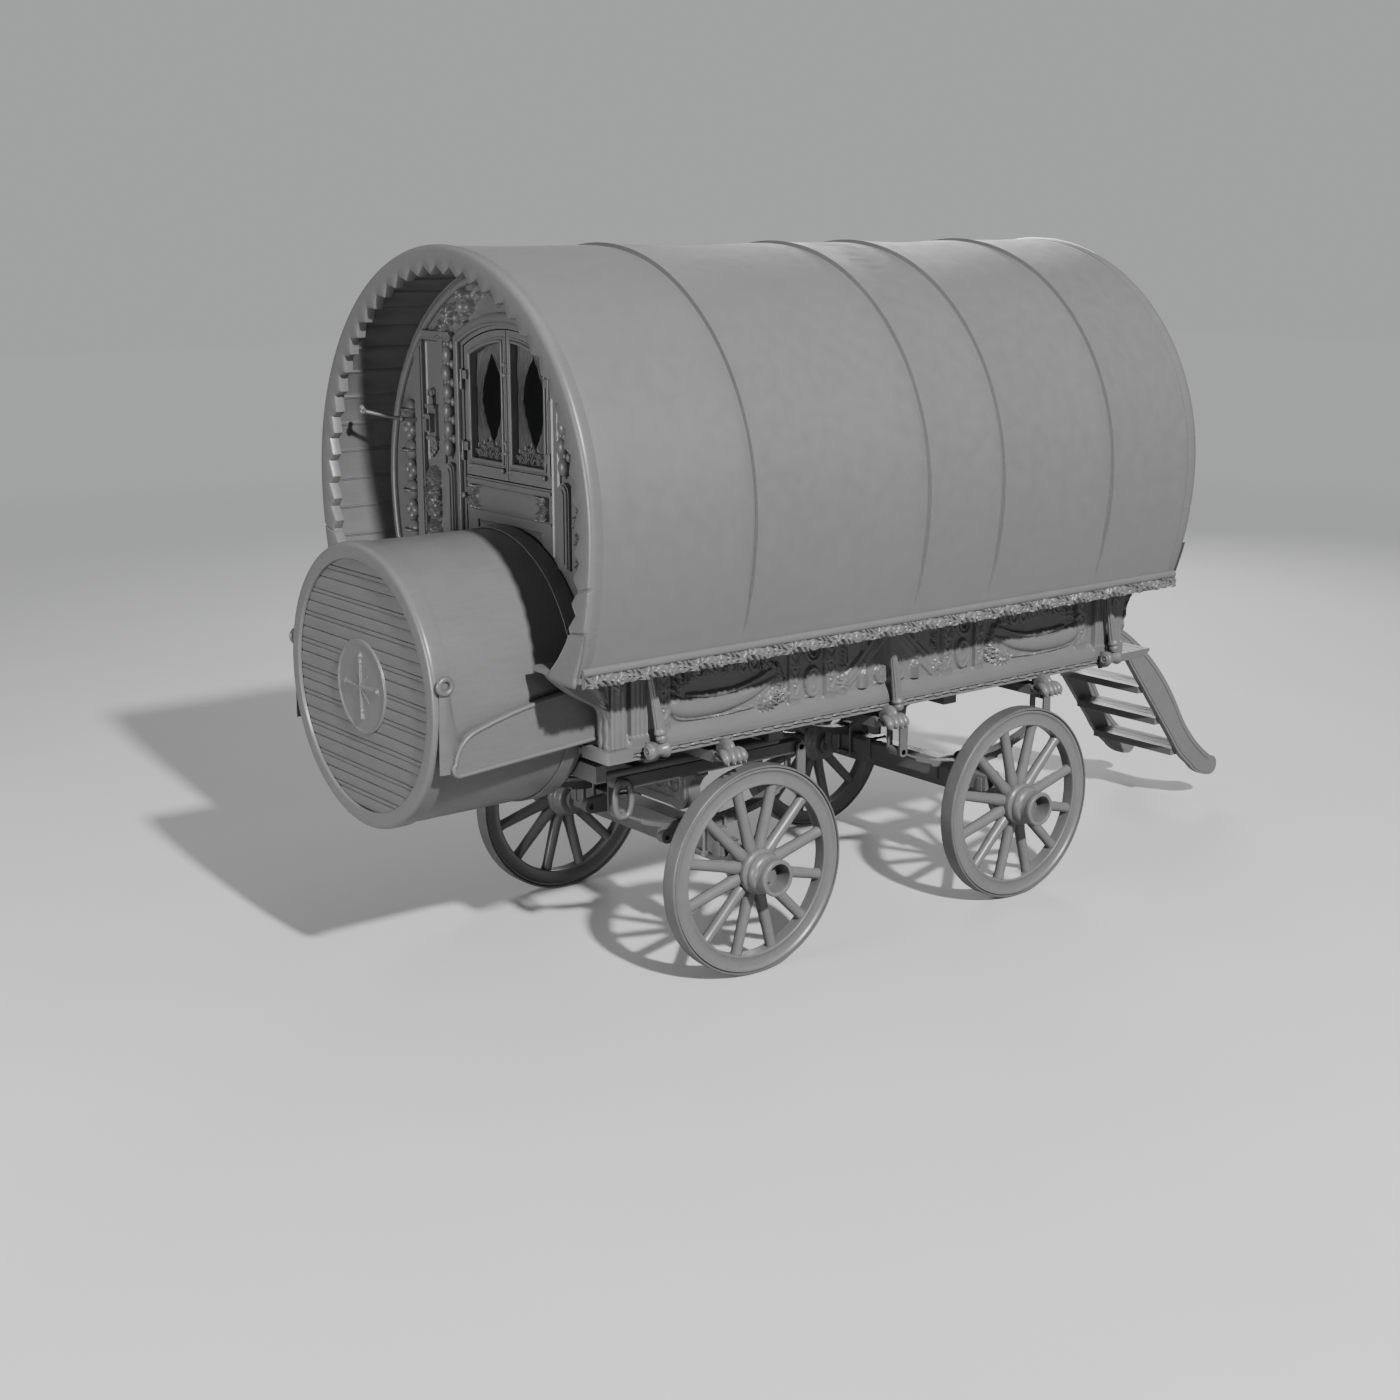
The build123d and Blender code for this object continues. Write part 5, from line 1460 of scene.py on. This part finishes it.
def makeGear():
    # shackles on two pins: a ring outside at the foremost ends, an oval plate elsewhere, a flat link inside
    # clips: square loops round spring and bed
    for name, y0, body, node in (
            ("frontShackleRings", 0, "fore_carriage", "front_shackles"),
            ("rearShackleRings", gear["base"], "wagon_body", "rear_shackles")):
        parts = []
        for end in (-gear["half"], gear["half"]):
            a = np.arange(48) * 2 * np.pi / 48
            mid, tall = (gear["eye"] + gear["top"]) / 2, (gear["top"] - gear["eye"]) / 2
            if end < 0 and y0 == 0:
                wide = 44 * np.sign(np.cos(a)) * np.abs(np.cos(a)) ** 0.75
                path = np.stack([
                    np.full(48, gear["x"] + 43), y0 + end + wide, mid + (tall + 11) * np.sin(a)], 1)
                parts.append(rod(path, roundSection(1, 12), 14, (1, 0, 0), True))
            else:
                plate = np.stack([
                    y0 + end + 25 * np.cos(a), mid + np.sign(np.sin(a)) * (tall - 2) + 27 * np.sin(a)], 1)
                parts.append(slabPart(plate, "yz", gear["x"] + 42, gear["x"] + 54))
            corners = np.array([(-17, -tall - 17), (17, -tall - 17), (17, tall + 17), (-17, tall + 17)])
            link = softened(corners + (y0 + end, mid), 2, True, 0.1)
            parts.append(slabPart(link, "yz", gear["x"] - 52, gear["x"] - 42))
            for z in (gear["eye"], gear["top"]):
                pin = [(-54, 4), (-54, 13), (-47, 15), (-46, 10.9), (46, 10.9), (47, 15), (54, 13), (54, 4)]
                parts.append(turned(pin, (gear["x"], y0 + end, z), (1, 0, 0), 16))
        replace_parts(addPiece(name, bothSides(parts), "iron", body), node)
    for name, y0, body in (
            ("frontSpringClips", 0, "fore_carriage"), ("rearSpringClips", gear["base"], "wagon_body")):
        parts = []
        for x in (gear["x"] - 44, gear["x"] + 44):
            loop = softened([
                (x, y0 - 62, 500), (x, y0 - 62, 662), (x, y0 + 62, 662), (x, y0 + 62, 500)], 3, False, 0.14)
            parts.append(rod(loop, roundSection(1, 8), 7.5, (1, 0, 0)))
            for y in (y0 - 62, y0 + 62):
                parts.append(turned([(-16, 5), (-16, 14), (0, 14), (0, 8)], (x, y, 500), (0, 0, 1), 6))
        plate = softened([(-60, -74), (60, -74), (60, 74), (-60, 74)], 2, True, 0.12)
        parts.append(slabPart(plate + (gear["x"], y0), "xy", 497, 505.2))
        for x, top in ((250, 606), (560, 566)):
            band = softened([(y0 - 55, 500), (y0 + 55, 500), (y0 + 55, top), (y0 - 55, top)], 2, True, 0.06)
            path = np.stack([np.full(len(band), float(x)), band[:, 0], band[:, 1]], 1)
            strap = softened([(-3, -17), (3, -17), (3, 17), (-3, 17)], 1, True, 0.1)
            parts.append(rod(path, strap, 1.0, (1, 0, 0), True))
        addPiece(name, bothSides(parts), "iron", body)
    z, f = grid((652, 864, 42), (-1, 1, 116))
    x = f * (np.interp(
        z, [640, 660, 698, 760, 790, 802, 828, 868], [250, 282, 314, 322, 334, 346, 378, 382]) - 4)
    motifs = [3 + frameRidge(x, z, -300, 300, 690, 840, 7, 7)]
    for at in range(-224, 225, 112):
        motifs += [ovalRing(x, z, (at, 765), 44, 44, 8, 11), rosette(x, z, (at, 765), 32, 8, 14)]
    for at in range(-168, 169, 112):
        motifs += [leaf(x, z, (at, 765), way * np.pi / 2, 66, 17, 11) for way in (-1, 1)]
    front = plateOnFace(x, z, highest(*motifs), -34)
    addPiece(
        "bolsterCarving", [front, outward(front[0] * (1, -1, 1), front[1])], "carved", "fore_carriage",
        crease=60)


makeGear()
print("running gear fitted")

# Steps and rear porch
steps = {
    "porch": 2707, "top": 1112, "run": 1150, "drop": 962, "x": 300, "thick": 32, "treads": 3, "deep": 190,
    "tread": 40}


def stepAt(along, down):
    return np.array([
        steps["porch"] + 0.3 + (steps["run"] - 0.3) * along, steps["top"] - steps["drop"] * down])


def stepArcs(*arcs):
    # each arc goes through three places, and ends with its number of points
    return [arcThrough(*(stepAt(*place) for place in arc[:3]), arc[3]) for arc in arcs]


def makeSteps():
    # treads: a board with a rounded nose; strings: a bead inside the edge on both faces
    half = steps["x"] - steps["thick"] / 2 - 0.4
    parts = []
    for k in range(steps["treads"]):
        y, z = stepAt(0.472 + 0.138 * k, 0.368 + 0.212 * k)
        y0, y1, z0 = y - steps["deep"] / 2, y + steps["deep"] / 2, z - steps["tread"]
        a = np.linspace(-np.pi / 2, np.pi / 2, 9)
        nose = np.stack([y1 - 12 + 12 * np.cos(a), (z0 + z) / 2 + 20 * np.sin(a)], 1)
        line = np.vstack([[(y0, z0 + 2), (y0 + 2, z0)], nose, [(y0 + 2, z), (y0, z - 2)]])
        parts.append(slabPart(line, "yz", -half, half))
        for y2 in (y0 + 62, y0 + 124):
            parts.append(boxPart(-half + 2, half - 2, y2 - 1.5, y2 + 1.5, z - 2, z + 1.2, 0.6))
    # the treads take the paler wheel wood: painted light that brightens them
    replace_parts(addPiece("stepTreads", parts, "wheel"), "step_treads")
    topEdge = np.vstack(stepArcs(
        ((0.02, -0.004), (0.109, -0.008), (0.195, 0.008), 10),
        ((0.2, 0.01), (0.412, 0.198), (0.657, 0.553), 24),
        ((0.66, 0.558), (0.782, 0.752), (0.925, 0.893), 14)))
    bend, *foot = stepArcs(
        ((0.05, 0.01), (0.17, 0.046), (0.296, 0.192), 10), ((0.645, 0.71), (0.705, 0.8), (0.79, 0.888), 10),
        ((0.795, 0.892), (0.87, 0.958), (0.935, 0.968), 8))
    lowEdge = np.vstack([bend, np.linspace(stepAt(0.3, 0.198), stepAt(0.64, 0.704), 24), *foot])
    beads = []
    for x in (steps["x"] - steps["thick"] / 2, steps["x"] + steps["thick"] / 2):
        for edge in (topEdge, lowEdge):
            path = np.stack([np.full(len(edge), x), edge[:, 0], edge[:, 1]], 1)
            beads.append(rod(softened(path, 1), roundSection(1, 6), 5.0, (1, 0, 0)))
    # the beads on the strings take the paler wheel wood too: painted light that brightens them
    addPiece("stringBeads", bothSides(beads), "wheel")
    lines = [boxPart(-706, 706, y - 1.5, y + 1.5, 1110, 1113.2, 0.8) for y in (2500, 2556, 2612, 2662)]
    addPiece("porchBoardLines", lines, "boards")


makeSteps()
print("steps made")
